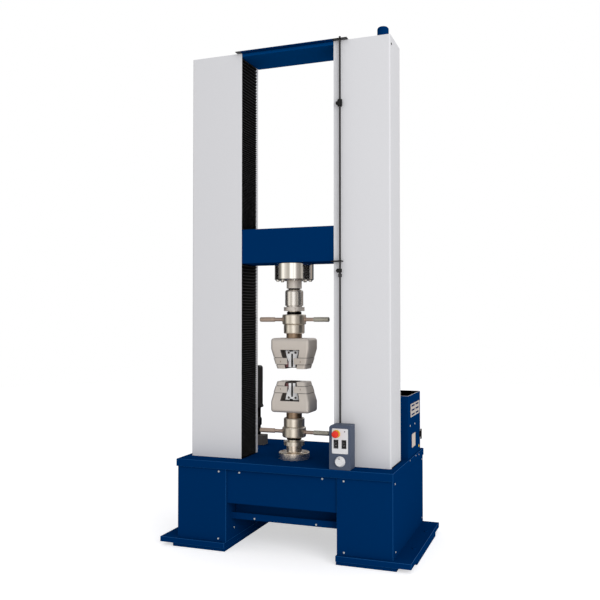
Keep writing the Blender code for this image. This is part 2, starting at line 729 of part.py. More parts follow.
def make_bellows(name, side, low, high):
    """Pleated strip in the slot of a column cover, with its folds towards the load axis."""
    count = max(2, round((high - low) / PLEAT_PITCH))
    pitch = (high - low) / count
    crest = COVER_INNER - BELLOWS_PROUD
    valley = crest + PLEAT_DEPTH
    back = valley + BELLOWS_BACKING
    outline = [(back, low), (valley, low)]
    for index in range(count):
        outline.append((crest, low + pitch * (index + 0.5)))
        outline.append((valley, low + pitch * (index + 1)))
    outline.append((back, high))
    mesh = prism_mesh([(x * side, z) for x, z in outline], BELLOWS_FRONT, BELLOWS_REAR, "Y")
    return add_piece(name, mesh, BLACK_RUBBER)


# Drive
def make_ball_screw(name, side):
    """Screw from the drive bay to the yoke, with its toothed pulley keyed on below the table."""
    high = YOKE_BOTTOM - SCREW_END_ROOM
    top = PULLEY_BOTTOM + PULLEY_HEIGHT
    flange = PULLEY_RADIUS + PULLEY_FLANGE_LIP
    low = PULLEY_BOTTOM - PULLEY_FLANGE - SCREW_END_ROOM
    profile = [(0.0, high), (SCREW_RADIUS, high), (SCREW_RADIUS, top + PULLEY_FLANGE),
               (flange, top + PULLEY_FLANGE), (flange, top), (PULLEY_RADIUS, top),
               (PULLEY_RADIUS, PULLEY_BOTTOM), (flange, PULLEY_BOTTOM),
               (flange, PULLEY_BOTTOM - PULLEY_FLANGE),
               (SCREW_RADIUS, PULLEY_BOTTOM - PULLEY_FLANGE), (SCREW_RADIUS, low), (0.0, low)]
    return add_turned(name, profile, BRIGHT_STEEL, (side * SCREW_X, LOAD_Y, 0.0))


def make_ball_nut(name, side):
    """Nut body in the crosshead's bore, with its flange below."""
    top = CROSSHEAD_BOTTOM - SEAT_GAP
    bore = SCREW_RADIUS + RUNNING_GAP
    high = top + NUT_LENGTH
    low = top - NUT_FLANGE_HEIGHT
    profile = [(bore, high), (NUT_BODY_RADIUS, high), (NUT_BODY_RADIUS, top), (NUT_FLANGE_RADIUS, top),
               (NUT_FLANGE_RADIUS, low), (bore, low)]
    return add_turned(name, profile, STEEL, (side * SCREW_X, LOAD_Y, 0.0))


def make_motor_tray():
    """Plate between the legs that carries the motor."""
    half = PEDESTAL_OUTER - LEG_OUTER_INSET - LEG_WIDTH - SEAT_GAP
    front = TABLE_FRONT + TRAY_FRONT_INSET
    piece = add_box_piece("motor_tray", (-half, front, TRAY_BOTTOM),
                          (half, front + TRAY_LENGTH, TRAY_TOP), STEEL)
    room = MOTOR_SIZE / 2 + SEAT_GAP
    centre = piece.location
    hole = box_mesh((Vector((-room, MOTOR_Y - room, TRAY_BOTTOM - TRAY_THICKNESS)) - centre,
                     Vector((room, MOTOR_Y + room, TRAY_TOP + TRAY_THICKNESS)) - centre))
    combine(piece, "DIFFERENCE", hole, "motor_hole")
    return piece


def make_drive_motor():
    """Square motor hung through the tray by its flange."""
    flange_low = TRAY_TOP + SEAT_GAP
    flange_high = flange_low + MOTOR_FLANGE_HEIGHT
    half = MOTOR_SIZE / 2
    piece = add_box_piece("drive_motor", (-half, MOTOR_Y - half, flange_low - MOTOR_LENGTH),
                          (half, MOTOR_Y + half, flange_high), BLACK_PLASTIC)
    bevel(piece, MOTOR_SIZE / 12)
    centre = piece.location
    reach = MOTOR_FLANGE_SIZE / 2
    flange = box_mesh((Vector((-reach, MOTOR_Y - reach, flange_low)) - centre,
                       Vector((reach, MOTOR_Y + reach, flange_high)) - centre))
    combine(piece, "UNION", flange, "flange")
    place = Vector((0.0, MOTOR_Y, flange_high)) - centre
    hole = cylinder_mesh(place, MOTOR_SHAFT_RADIUS + RUNNING_GAP, 2 * MOTOR_SHAFT_DEPTH)
    combine(piece, "DIFFERENCE", hole, "shaft_hole")
    return piece


def make_motor_pulley():
    """Small toothed pulley with its shaft."""
    flange_high = TRAY_TOP + SEAT_GAP + MOTOR_FLANGE_HEIGHT
    shaft_low = flange_high - MOTOR_SHAFT_DEPTH + RUNNING_GAP
    top = PULLEY_BOTTOM + PULLEY_HEIGHT
    flange = MOTOR_PULLEY_RADIUS + PULLEY_FLANGE_LIP
    flange_low = PULLEY_BOTTOM - PULLEY_FLANGE
    profile = [(0.0, top + PULLEY_FLANGE), (flange, top + PULLEY_FLANGE), (flange, top),
               (MOTOR_PULLEY_RADIUS, top), (MOTOR_PULLEY_RADIUS, PULLEY_BOTTOM),
               (flange, PULLEY_BOTTOM), (flange, flange_low), (MOTOR_SHAFT_RADIUS, flange_low),
               (MOTOR_SHAFT_RADIUS, shaft_low), (0.0, shaft_low)]
    return add_turned("motor_pulley", profile, ALUMINIUM, (0.0, MOTOR_Y, 0.0))


def wrapped_mesh(extra, low, high):
    """The taut outline round the three pulleys, grown by extra, drawn out in Z."""
    def build(shape):
        rims = [(-SCREW_X, LOAD_Y, PULLEY_RADIUS), (SCREW_X, LOAD_Y, PULLEY_RADIUS),
                (0.0, MOTOR_Y, MOTOR_PULLEY_RADIUS)]
        for x, y, radius in rims:
            add_cylinder(shape, (x, y, (low + high) / 2), radius + extra, high - low)
        hull = bmesh.ops.convex_hull(shape, input=shape.verts)
        spare = set(hull["geom_interior"]) | set(hull["geom_unused"])
        loose = [item for item in spare if isinstance(item, bmesh.types.BMVert) and item.is_valid]
        bmesh.ops.delete(shape, geom=loose, context="VERTS")
        bmesh.ops.dissolve_limit(shape, angle_limit=0.001, verts=shape.verts, edges=shape.edges)
    return mesh_from(build)


def make_drive_belt():
    """Belt round the motor pulley and both screw pulleys."""
    low = PULLEY_BOTTOM + BELT_GAP
    high = PULLEY_BOTTOM + PULLEY_HEIGHT - BELT_GAP
    outside = wrapped_mesh(BELT_GAP + BELT_THICKNESS, low, high)
    piece = add_piece("drive_belt", outside, BLACK_RUBBER)
    inside = wrapped_mesh(BELT_GAP, low - BELT_THICKNESS, high + BELT_THICKNESS)
    combine(piece, "DIFFERENCE", inside, "inside")
    return piece


# Crosshead and load string
def make_crosshead():
    """Beam between the columns with bores for the nuts and the guide columns."""
    half = GUIDE_X + CROSSHEAD_END_MARGIN
    low = (-half, CROSSHEAD_FRONT, CROSSHEAD_BOTTOM)
    high = (half, CROSSHEAD_REAR, CROSSHEAD_TOP)
    piece = add_box_piece("crosshead", low, high, BLUE)
    centre = piece.location

    def bores(shape):
        length = 2 * CROSSHEAD_HEIGHT
        middle = (CROSSHEAD_BOTTOM + CROSSHEAD_TOP) / 2
        for side in (-1, 1):
            nut = Vector((side * SCREW_X, LOAD_Y, middle)) - centre
            guide = Vector((side * GUIDE_X, LOAD_Y, middle)) - centre
            add_cylinder(shape, nut, NUT_BODY_RADIUS + SEAT_GAP, length, "Z", ROUND_STEPS)
            add_cylinder(shape, guide, GUIDE_RADIUS + RUNNING_GAP, length, "Z", ROUND_STEPS)

    combine(piece, "DIFFERENCE", mesh_from(bores), "bores")
    return piece


def make_load_cell():
    """Flat round load cell: bolted outer ring, groove and threaded hub."""
    groove = CELL_BOTTOM + CELL_GROOVE_DEPTH
    profile = [(0.0, CELL_TOP), (CELL_RADIUS - CELL_CHAMFER / 2, CELL_TOP),
               (CELL_RADIUS, CELL_TOP - CELL_CHAMFER / 2), (CELL_RADIUS, CELL_BOTTOM + CELL_CHAMFER),
               (CELL_RADIUS - CELL_CHAMFER, CELL_BOTTOM), (CELL_GROOVE_OUTER, CELL_BOTTOM),
               (CELL_GROOVE_OUTER, groove), (CELL_GROOVE_INNER, groove),
               (CELL_GROOVE_INNER, CELL_BOTTOM), (0.0, CELL_BOTTOM)]
    piece = add_turned("load_cell", profile, STEEL, (0.0, LOAD_Y, 0.0))
    heads = cylinder_ring_mesh(CELL_BOLT_COUNT, CELL_BOLT_CIRCLE, CELL_BOLT_RADIUS,
                               CELL_BOTTOM - CELL_BOLT_HEAD, CELL_BOTTOM + CELL_CHAMFER / 2,
                               start=math.pi / CELL_BOLT_COUNT)
    combine(piece, "UNION", heads, "bolt_heads")
    return piece


def make_load_cell_stud():
    """Stud that screws into the load cell and hangs in the coupling sleeve."""
    spigot = STUD_BOTTOM - STUD_SPIGOT_LENGTH
    profile = [(0.0, STUD_TOP), (STUD_RADIUS, STUD_TOP), (STUD_RADIUS, STUD_BOTTOM),
               (STUD_SPIGOT_RADIUS, STUD_BOTTOM), (STUD_SPIGOT_RADIUS, spigot), (0.0, spigot)]
    return add_turned("load_cell_stud", profile, STEEL, (0.0, LOAD_Y, 0.0))


def make_coupling_sleeve():
    """Sleeve that joins the stud to the spindle of the upper grip."""
    bore = STUD_SPIGOT_RADIUS + SEAT_GAP
    lip = COUPLING_BOTTOM - COUPLING_LIP_LENGTH
    shoulder = rounded_top(COUPLING_RADIUS, COUPLING_TOP, COUPLING_SHOULDER)
    profile = [(bore, COUPLING_TOP)] + shoulder
    profile += [(COUPLING_RADIUS, COUPLING_BOTTOM), (COUPLING_LIP_RADIUS, COUPLING_BOTTOM),
                (COUPLING_LIP_RADIUS, lip), (bore, lip)]
    return add_turned("coupling_sleeve", profile, STEEL, (0.0, LOAD_Y, 0.0))


def grip_heights(mouth, up, stem_length):
    """Heights along a grip's spindle, from its body out to its free end."""
    body = mouth + up * (GRIP_HEIGHT + SEAT_GAP)
    shoulder = body + up * stem_length
    collar = shoulder + up * (SHOULDER_LENGTH + SEAT_GAP)
    seal = collar + up * (COLLAR_LENGTH + SEAT_GAP)
    nut = seal + up * (SEAL_HEIGHT + SEAT_GAP)
    return body, shoulder, collar, seal, nut


def oriented(points, up):
    """A profile listed from its upper end down, whichever way the grip points."""
    return points if up > 0 else points[::-1]


def make_spindle(name, mouth, up, stem_length, end):
    """Stem, shoulder, running part for the collar, seal ring and threaded end in one turning."""
    body, shoulder, collar, seal, nut = grip_heights(mouth, up, stem_length)
    top = collar - up * SEAT_GAP
    edge = up * EDGE_CHAMFER
    tail = [(0.0, end), (STUD_SPIGOT_RADIUS, end)] if up > 0 else [(0.0, end)]
    if up > 0:
        step = COUPLING_BOTTOM - COUPLING_LIP_LENGTH - SEAT_GAP
        tail += [(STUD_SPIGOT_RADIUS, step), (SPINDLE_RADIUS, step)]
    else:
        tail += [(SPINDLE_RADIUS, end)]
    run = [(SPINDLE_RADIUS, nut - up * SEAT_GAP), (SEAL_RADIUS, nut - up * SEAT_GAP), (SEAL_RADIUS, seal),
           (SPINDLE_RADIUS, seal), (SPINDLE_RADIUS, top), (SHOULDER_RADIUS - EDGE_CHAMFER / 2, top),
           (SHOULDER_RADIUS, top - edge / 2), (SHOULDER_RADIUS, shoulder + edge),
           (SHOULDER_RADIUS - EDGE_CHAMFER, shoulder), (STEM_RADIUS, shoulder), (STEM_RADIUS, body),
           (0.0, body)]
    return add_turned(name, oriented(tail + run, up), STEEL, (0.0, LOAD_Y, 0.0))


def make_ring_nut(name, low):
    """Lock nut with spanner holes round its rim."""
    high = low + RING_NUT_HEIGHT
    bore = SPINDLE_RADIUS + SEAT_GAP
    profile = [(bore, high), (RING_NUT_RADIUS, high), (RING_NUT_RADIUS, low), (bore, low)]
    piece = add_turned(name, profile, STEEL, (0.0, LOAD_Y, 0.0))

    def holes(shape):
        for angle in (-math.pi / 2, math.pi / 6, 5 * math.pi / 6):
            place = Vector((RING_NUT_RADIUS * math.cos(angle), RING_NUT_RADIUS * math.sin(angle),
                            (low + high) / 2))
            turn = Matrix.Rotation(angle, 4, "Z") @ Matrix.Rotation(math.pi / 2, 4, "Y")
            bmesh.ops.create_cone(shape, cap_ends=True, segments=FASTENER_STEPS,
                                  radius1=SPANNER_HOLE_RADIUS, radius2=SPANNER_HOLE_RADIUS,
                                  depth=2 * SPANNER_HOLE_DEPTH, matrix=Matrix.Translation(place) @ turn)

    combine(piece, "DIFFERENCE", mesh_from(holes), "spanner_holes")
    return piece


def add_bar(shape, side, height):
    """One tommy bar along X: a thin rod and a thicker handle with a domed end."""
    root = SPINDLE_RADIUS + (COLLAR_RADIUS - SPINDLE_RADIUS) / 2
    turn = Matrix.Translation((0.0, 0.0, height)) @ Matrix.Rotation(side * math.pi / 2, 4, "Y")
    dome = BAR_GRIP_RADIUS / 2
    profile = [(BAR_ROD_RADIUS, root), (BAR_ROD_RADIUS, BAR_GRIP_START),
               (BAR_GRIP_RADIUS, BAR_GRIP_START), (BAR_GRIP_RADIUS, BAR_REACH - dome),
               (BAR_GRIP_RADIUS - dome, BAR_REACH)]
    rings = []
    for radius, along in profile:
        ring = []
        for step in range(SMALL_STEPS):
            angle = 2 * math.pi * step / SMALL_STEPS
            spot = turn @ Vector((radius * math.cos(angle), radius * math.sin(angle), along))
            ring.append(shape.verts.new(spot))
        rings.append(ring)
    for lower, upper in zip(rings, rings[1:]):
        for step in range(SMALL_STEPS):
            following = (step + 1) % SMALL_STEPS
            shape.faces.new((lower[step], lower[following], upper[following], upper[step]))
    shape.faces.new(rings[0])
    shape.faces.new(rings[-1])


def make_collar(name, mouth, up, stem_length):
    """Turning collar with two tommy bars. Its origin is on the load axis."""
    collar = grip_heights(mouth, up, stem_length)[2]
    far = collar + up * COLLAR_LENGTH
    low, high = sorted((collar, far))
    bore = SPINDLE_RADIUS + RUNNING_GAP
    edge = EDGE_CHAMFER
    profile = [(bore, high), (COLLAR_RADIUS - edge, high), (COLLAR_RADIUS, high - edge),
               (COLLAR_RADIUS, low + edge), (COLLAR_RADIUS - edge, low), (bore, low)]
    piece = add_turned(name, profile, STEEL, (0.0, LOAD_Y, 0.0))

    def bars(shape):
        for side in (-1, 1):
            add_bar(shape, side, (low + high) / 2)

    combine(piece, "UNION", mesh_from(bars), "tommy_bars")
    return piece


def pocket_half_width(height):
    """Half the width of the wedge pocket at a height above the mouth."""
    return POCKET_HALF_WIDTH - (POCKET_TOP - height) * math.tan(POCKET_ANGLE)


def make_grip_body(name, mouth, up):
    """Forked block: straight behind, tapered to the mouth, with the wedge pocket cut in its face."""
    levels = [(0.0, MOUTH_HALF_WIDTH, MOUTH_HALF_DEPTH),
              (GRIP_SHOULDER, GRIP_HALF_WIDTH, GRIP_HALF_DEPTH),
              (GRIP_HEIGHT, GRIP_HALF_WIDTH, GRIP_HALF_DEPTH)]

    def block(shape):
        first = levels[0]
        add_box(shape, (-first[1], -first[2], -SHEET), (first[1], first[2], 0.0))
        top = max(shape.faces, key=lambda face: face.calc_center_median().z)
        bottom = [vert for vert in shape.verts if vert.co.z < -SHEET / 2]
        for low, high in zip(levels, levels[1:]):
            result = bmesh.ops.extrude_face_region(shape, geom=[top])
            verts = [item for item in result["geom"] if isinstance(item, bmesh.types.BMVert)]
            bmesh.ops.delete(shape, geom=[top], context="FACES_ONLY")
            bmesh.ops.scale(shape, verts=verts, vec=(high[1] / low[1], high[2] / low[2], 1.0))
            bmesh.ops.translate(shape, verts=verts, vec=(0.0, 0.0, high[0] - low[0]))
            top = next(item for item in result["geom"] if isinstance(item, bmesh.types.BMFace))
        for vert in bottom:
            vert.co.z = 0.0
        bmesh.ops.remove_doubles(shape, verts=shape.verts, dist=0.00001)
        bmesh.ops.scale(shape, verts=shape.verts, vec=(1.0, 1.0, up))

    piece = add_piece(name, mesh_from(block), STEEL, (0.0, LOAD_Y, mouth))
    bevel(piece, GRIP_ROUNDING, 2)
    beyond = GRIP_HEIGHT / 4
    pocket = [(-pocket_half_width(-beyond), -beyond * up), (pocket_half_width(-beyond), -beyond * up),
              (POCKET_HALF_WIDTH, POCKET_TOP * up), (-POCKET_HALF_WIDTH, POCKET_TOP * up)]
    wedge = prism_mesh(pocket, -2 * GRIP_HALF_DEPTH, POCKET_BACK, "Y")
    combine(piece, "DIFFERENCE", wedge, "wedge_pocket")
    groove = tapered_ring_mesh(STRAP_BOTTOM - SEAT_GAP, STRAP_BOTTOM + STRAP_HEIGHT + SEAT_GAP,
                               STRAP_THICKNESS + SEAT_GAP, -GRIP_HALF_DEPTH, up)
    combine(piece, "DIFFERENCE", groove, "strap_groove")
    return piece


def body_half_sizes(height):
    """Half width and half depth of a grip's tapered part at a height above the mouth."""
    share = height / GRIP_SHOULDER
    return (MOUTH_HALF_WIDTH + (GRIP_HALF_WIDTH - MOUTH_HALF_WIDTH) * share,
            MOUTH_HALF_DEPTH + (GRIP_HALF_DEPTH - MOUTH_HALF_DEPTH) * share)


def tapered_ring_mesh(low, high, inner_depth, outer_depth, up):
    """Square ring between two depths below the tapered skin of a grip body."""
    def build(shape):
        rings = []
        for height in (low, high):
            half_x, half_y = body_half_sizes(height)
            for depth in (inner_depth, outer_depth):
                x = half_x - depth
                y = half_y - depth
                corners = [(-x, -y), (x, -y), (x, y), (-x, y)]
                rings.append([shape.verts.new((u, v, height * up)) for u, v in corners])
        for first, second in ((0, 1), (2, 3), (0, 2), (1, 3)):
            for step in range(4):
                following = (step + 1) % 4
                shape.faces.new((rings[first][step], rings[first][following],
                                 rings[second][following], rings[second][step]))
    return mesh_from(build)


def make_strap(name, mouth, up):
    """Strap let into the tapered body, open in front of the jaws, that holds the cheeks together."""
    low = STRAP_BOTTOM
    high = STRAP_BOTTOM + STRAP_HEIGHT
    ring = tapered_ring_mesh(low, high, STRAP_THICKNESS, -STRAP_PROUD, up)
    piece = add_piece(name, ring, STEEL, (0.0, LOAD_Y, mouth))
    half_gap = STRAP_FRONT_GAP / 2
    beyond = STRAP_HEIGHT / 2
    near, far = sorted(((low - beyond) * up, (high + beyond) * up))
    window = box_mesh(((-half_gap, -2 * GRIP_HALF_DEPTH, near), (half_gap, 0.0, far)))
    combine(piece, "DIFFERENCE", window, "front_gap")
    return piece


def make_jaw(name, mouth, up, side):
    """Wedge jaw whose back lies along the pocket's wall. Its origin is on its own slide line."""
    slack = JAW_WALL_GAP / math.cos(POCKET_ANGLE)
    outline = [(JAW_HALF_GAP, JAW_BOTTOM), (pocket_half_width(JAW_BOTTOM) - slack, JAW_BOTTOM),
               (pocket_half_width(JAW_TOP) - slack, JAW_TOP), (JAW_HALF_GAP, JAW_TOP)]
    outline = [(x * side, z * up) for x, z in outline]
    mesh = prism_mesh(outline, -JAW_FRONT, POCKET_BACK - SEAT_GAP, "Y")
    piece = add_piece(name, mesh, BRIGHT_STEEL, (0.0, LOAD_Y, mouth))
    place = (side * JAW_HOLE_X, -JAW_FRONT, up * JAW_HOLE_HEIGHT)
    hole = cylinder_mesh(place, JAW_HOLE_RADIUS, 2 * JAW_HOLE_DEPTH, "Y", FASTENER_STEPS)
    combine(piece, "DIFFERENCE", hole, "screw_hole")
    return piece


def make_lower_flange():
    """Round flange on the table with bolt holes, and its neck."""
    low = TABLE_TOP + SEAT_GAP
    top = low + FLANGE_HEIGHT
    edge = EDGE_CHAMFER / 2
    profile = [(0.0, FLANGE_NECK_TOP), (STEM_RADIUS, FLANGE_NECK_TOP), (STEM_RADIUS, top),
               (FLANGE_RADIUS - edge, top), (FLANGE_RADIUS, top - edge), (FLANGE_RADIUS, low), (0.0, low)]
    piece = add_turned("lower_flange", profile, STEEL, (0.0, LOAD_Y, 0.0))
    holes = cylinder_ring_mesh(FLANGE_BOLT_COUNT, FLANGE_BOLT_CIRCLE, FLANGE_HOLE_RADIUS,
                               top - FLANGE_HOLE_DEPTH, top + FLANGE_HOLE_DEPTH)
    combine(piece, "DIFFERENCE", holes, "bolt_holes")
    return piece


# Limit rod
def make_limit_rod():
    """Rod in front of the right column that trips the limit switches."""
    low = TABLE_TOP - ROD_SINK
    profile = [(0.0, ROD_TOP), (ROD_RADIUS, ROD_TOP), (ROD_RADIUS, low), (0.0, low)]
    return add_turned("limit_rod", profile, DARK_STEEL, (ROD_X, ROD_Y, 0.0), SMALL_STEPS)


def add_knob(piece, height):
    """Clamp knob on the left of a stop collar."""
    inner = ROD_RADIUS + RUNNING_GAP + (STOP_COLLAR_RADIUS - ROD_RADIUS) / 2
    centre = (-(STOP_KNOB_REACH + inner) / 2, 0.0, height)
    knob = cylinder_mesh(centre, STOP_KNOB_RADIUS, STOP_KNOB_REACH - inner, "X", SMALL_STEPS)
    combine(piece, "UNION", knob, "knob")


def make_upper_stop():
    """Clamp collar with a knob that limits the crosshead's upward travel."""
    low = UPPER_STOP_Z - UPPER_STOP_HEIGHT / 2
    high = UPPER_STOP_Z + UPPER_STOP_HEIGHT / 2
    bore = ROD_RADIUS + RUNNING_GAP
    edge = STOP_COLLAR_RADIUS / 4
    profile = [(bore, high), (STOP_COLLAR_RADIUS - edge, high), (STOP_COLLAR_RADIUS, high - edge),
               (STOP_COLLAR_RADIUS, low + edge), (STOP_COLLAR_RADIUS - edge, low), (bore, low)]
    piece = add_turned("upper_stop", profile, BLACK_PLASTIC, (ROD_X, ROD_Y, 0.0), SMALL_STEPS)
    add_knob(piece, UPPER_STOP_Z)
    return piece


def make_lower_stop():
    """Clamp collar with a knob and a slimmer ring below it."""
    high = LOWER_STOP_Z + LOWER_STOP_HEIGHT / 2
    step = LOWER_STOP_Z - LOWER_STOP_HEIGHT / 2
    low = LOWER_STOP_Z - LOWER_RING_DROP - LOWER_RING_HEIGHT / 2
    bore = ROD_RADIUS + RUNNING_GAP
    profile = [(bore, high), (STOP_COLLAR_RADIUS, high), (STOP_COLLAR_RADIUS, step),
               (LOWER_RING_RADIUS, step), (LOWER_RING_RADIUS, low), (bore, low)]
    piece = add_turned("lower_stop", profile, BLACK_PLASTIC, (ROD_X, ROD_Y, 0.0), SMALL_STEPS)
    add_knob(piece, LOWER_STOP_Z)
    return piece


def make_trip_arm():
    """Flat arm under the crosshead's right end, pierced for the limit rod."""
    high = CROSSHEAD_BOTTOM - SEAT_GAP
    front = ROD_Y - TRIP_ARM_WIDTH / 2
    rear = COVER_FRONT - RUNNING_GAP
    neck = COVER_INNER - RUNNING_GAP
    back = CROSSHEAD_FRONT + TRIP_ARM_WIDTH
    left = COVER_INNER - TRIP_ARM_NECK
    nose = ROD_X + TRIP_ARM_NOSE
    outline = [(left, front), (nose, front), (nose, rear), (neck, rear), (neck, back), (left, back)]
    origin = Vector((ROD_X, ROD_Y, high - TRIP_ARM_THICKNESS))
    shifted = [(x - origin.x, y - origin.y) for x, y in outline]
    piece = add_piece("trip_arm", prism_mesh(shifted, 0.0, TRIP_ARM_THICKNESS), BLACK_PLASTIC, origin)
    bore = ROD_RADIUS + 2 * RUNNING_GAP
    hole = cylinder_mesh((0.0, 0.0, 0.0), bore, 4 * TRIP_ARM_THICKNESS, "Z", SMALL_STEPS)
    combine(piece, "DIFFERENCE", hole, "rod_hole")
    return piece


# Control box
def make_control_box():
    """Box open at the back, with holes for the stop button, the rockers and the knob."""
    low = Vector((BOX_LEFT, BOX_FRONT, BOX_BOTTOM))
    high = low + Vector((BOX_WIDTH, BOX_DEPTH, BOX_HEIGHT))
    piece = add_box_piece("control_box", low, high, BOX_GREY)
    bevel(piece, BOX_ROUNDING, 2)
    centre = piece.location
    wall = Vector((BOX_WALL, BOX_WALL, BOX_WALL))
    inside_high = Vector((high.x - BOX_WALL, high.y + BOX_WALL, high.z - BOX_WALL))
    combine(piece, "DIFFERENCE", box_mesh((low + wall - centre, inside_high - centre)), "inside")

    def holes(shape):
        for x, z, radius in ((STOP_X, STOP_Z, STOP_STEM_RADIUS), (KNOB_X, KNOB_Z, KNOB_SHAFT_RADIUS)):
            place = Vector((x, BOX_FRONT, z)) - centre
            add_cylinder(shape, place, radius + RUNNING_GAP, 4 * BOX_WALL, "Y", SMALL_STEPS)
        for x in ROCKER_X:
            reach = Vector((ROCKER_WIDTH / 2 + ROCKER_WINDOW_GAP, 2 * BOX_WALL,
                            ROCKER_HEIGHT / 2 + ROCKER_WINDOW_GAP))
            place = Vector((x, BOX_FRONT, ROCKER_Z)) - centre
            add_box(shape, place - reach, place + reach)

    combine(piece, "DIFFERENCE", mesh_from(holes), "control_holes")
    return piece


def make_control_panel():
    """White plate on the front of the control box, pierced for the controls."""
    low = Vector((BOX_LEFT + PANEL_MARGIN_SIDE, BOX_FRONT - SEAT_GAP - PANEL_THICKNESS,
                  BOX_BOTTOM + BOX_HEIGHT - PANEL_TOP_MARGIN - PANEL_HEIGHT))
    high = Vector((BOX_LEFT + BOX_WIDTH - PANEL_MARGIN_SIDE, BOX_FRONT - SEAT_GAP,
                   BOX_BOTTOM + BOX_HEIGHT - PANEL_TOP_MARGIN))
    piece = add_box_piece("control_panel", low, high, WHITE_PLASTIC)
    centre = piece.location

    def holes(shape):
        place = Vector((STOP_X, centre.y, STOP_Z)) - centre
        add_cylinder(shape, place, STOP_STEM_RADIUS + RUNNING_GAP, 4 * PANEL_THICKNESS, "Y", SMALL_STEPS)
        for x in ROCKER_X:
            reach = Vector((ROCKER_WIDTH / 2 + ROCKER_WINDOW_GAP, 2 * PANEL_THICKNESS,
                            ROCKER_HEIGHT / 2 + ROCKER_WINDOW_GAP))
            place = Vector((x, centre.y, ROCKER_Z)) - centre
            add_box(shape, place - reach, place + reach)

    combine(piece, "DIFFERENCE", mesh_from(holes), "control_holes")
    return piece


def turned_forwards(piece):
    """Turn a piece drawn about +Z so that its upper end points to the front."""
    piece.rotation_euler = (math.pi / 2, 0.0, 0.0)
    return piece


def make_emergency_stop():
    """Mushroom head on its stem. It slides along Y into the box."""
    front = STOP_OVERHANG
    back = front - STOP_HEAD_THICKNESS
    stem_end = -BOX_WALL - STOP_TRAVEL_ROOM
    edge = STOP_HEAD_THICKNESS / 3
    profile = [(0.0, front), (STOP_HEAD_RADIUS - edge, front), (STOP_HEAD_RADIUS, front - edge),
               (STOP_HEAD_RADIUS, back), (STOP_STEM_RADIUS, back), (STOP_STEM_RADIUS, stem_end),
               (0.0, stem_end)]
    origin = (STOP_X, BOX_FRONT, STOP_Z)
    return turned_forwards(add_turned("emergency_stop", profile, RED_PLASTIC, origin, SMALL_STEPS))


def make_rocker(name, x):
    """Rocker key with a raised ridge at each end and a pivot pin through its origin."""
    half = ROCKER_HEIGHT / 2
    front = -ROCKER_PROUD - BOX_WALL / 2
    outline = [(front, -half), (front + ROCKER_PROUD / 2, 0.0), (front, half), (ROCKER_DEPTH, half),
               (ROCKER_DEPTH, -half)]
    origin = (x, BOX_FRONT + BOX_WALL / 2, ROCKER_Z)
    key = prism_mesh(outline, -ROCKER_WIDTH / 2, ROCKER_WIDTH / 2, "X")
    piece = add_piece(name, key, BLACK_PLASTIC, origin)
    pin_length = ROCKER_WIDTH + 2 * (ROCKER_WINDOW_GAP - SEAT_GAP)
    pin = cylinder_mesh((0.0, 0.0, 0.0), ROCKER_PIN_RADIUS, pin_length, "X", FASTENER_STEPS)
    combine(piece, "UNION", pin, "pivot_pin")
    return piece


def make_speed_knob():
    """Round knob on its shaft. It turns about Y."""
    back = RUNNING_GAP
    front = back + KNOB_LENGTH
    edge = KNOB_LENGTH / 6
    stem_end = -2 * BOX_WALL
    profile = [(0.0, front), (KNOB_RADIUS - 2 * edge, front), (KNOB_RADIUS - edge, front - edge),
               (KNOB_RADIUS, back), (KNOB_SHAFT_RADIUS, back), (KNOB_SHAFT_RADIUS, stem_end),
               (0.0, stem_end)]
    piece = add_turned("speed_knob", profile, WHITE_PLASTIC, (KNOB_X, BOX_FRONT, KNOB_Z), ROUND_STEPS)
    return turned_forwards(piece)


# Cabinet
def make_cabinet():
    """Sheet cabinet without a floor, on the table behind the right column."""
    low = Vector((CABINET_LEFT, CABINET_FRONT, TABLE_TOP + SEAT_GAP))
    high = Vector((CABINET_RIGHT, CABINET_FRONT + CABINET_DEPTH, low.z + CABINET_HEIGHT))
    piece = add_box_piece("cabinet", low, high, BLUE)
    centre = piece.location
    wall = Vector((SHEET, SHEET, -SHEET))
    inside_high = high - Vector((SHEET, SHEET, SHEET))
    combine(piece, "DIFFERENCE", box_mesh((low + wall - centre, inside_high - centre)), "inside")

    def holes(shape):
        place = Vector((CABINET_RIGHT, CABINET_FRONT + ISOLATOR_SETBACK, ISOLATOR_Z)) - centre
        add_cylinder(shape, place, ISOLATOR_SHAFT_RADIUS + RUNNING_GAP, 4 * SHEET, "X", SMALL_STEPS)

    combine(piece, "DIFFERENCE", mesh_from(holes), "isolator_hole")
    return piece


def make_vent_grille():
    """Thin plate on the cabinet's side with rows of slots."""
    low = Vector((CABINET_RIGHT + SEAT_GAP, CABINET_FRONT + VENT_FRONT, TABLE_TOP + VENT_BOTTOM))
    high = low + Vector((VENT_THICKNESS, VENT_LENGTH, VENT_HEIGHT))
    piece = add_box_piece("vent_grille", low, high, GREY_PAINT)

    def slots(shape):
        slot_length = SLOT_SHARE * VENT_LENGTH / (VENT_SLOTS + 0.5)
        for row in range(VENT_ROWS):
            for column in range(VENT_SLOTS):
                y = VENT_LENGTH * ((column + 0.5) / VENT_SLOTS - 0.5)
                z = VENT_HEIGHT * ((row + 0.5) / VENT_ROWS - 0.5)
                add_box(shape, (-VENT_THICKNESS, y - slot_length / 2, z - SLOT_HEIGHT / 2),
                        (VENT_THICKNESS, y + slot_length / 2, z + SLOT_HEIGHT / 2))

    combine(piece, "DIFFERENCE", mesh_from(slots), "slots")
    return piece


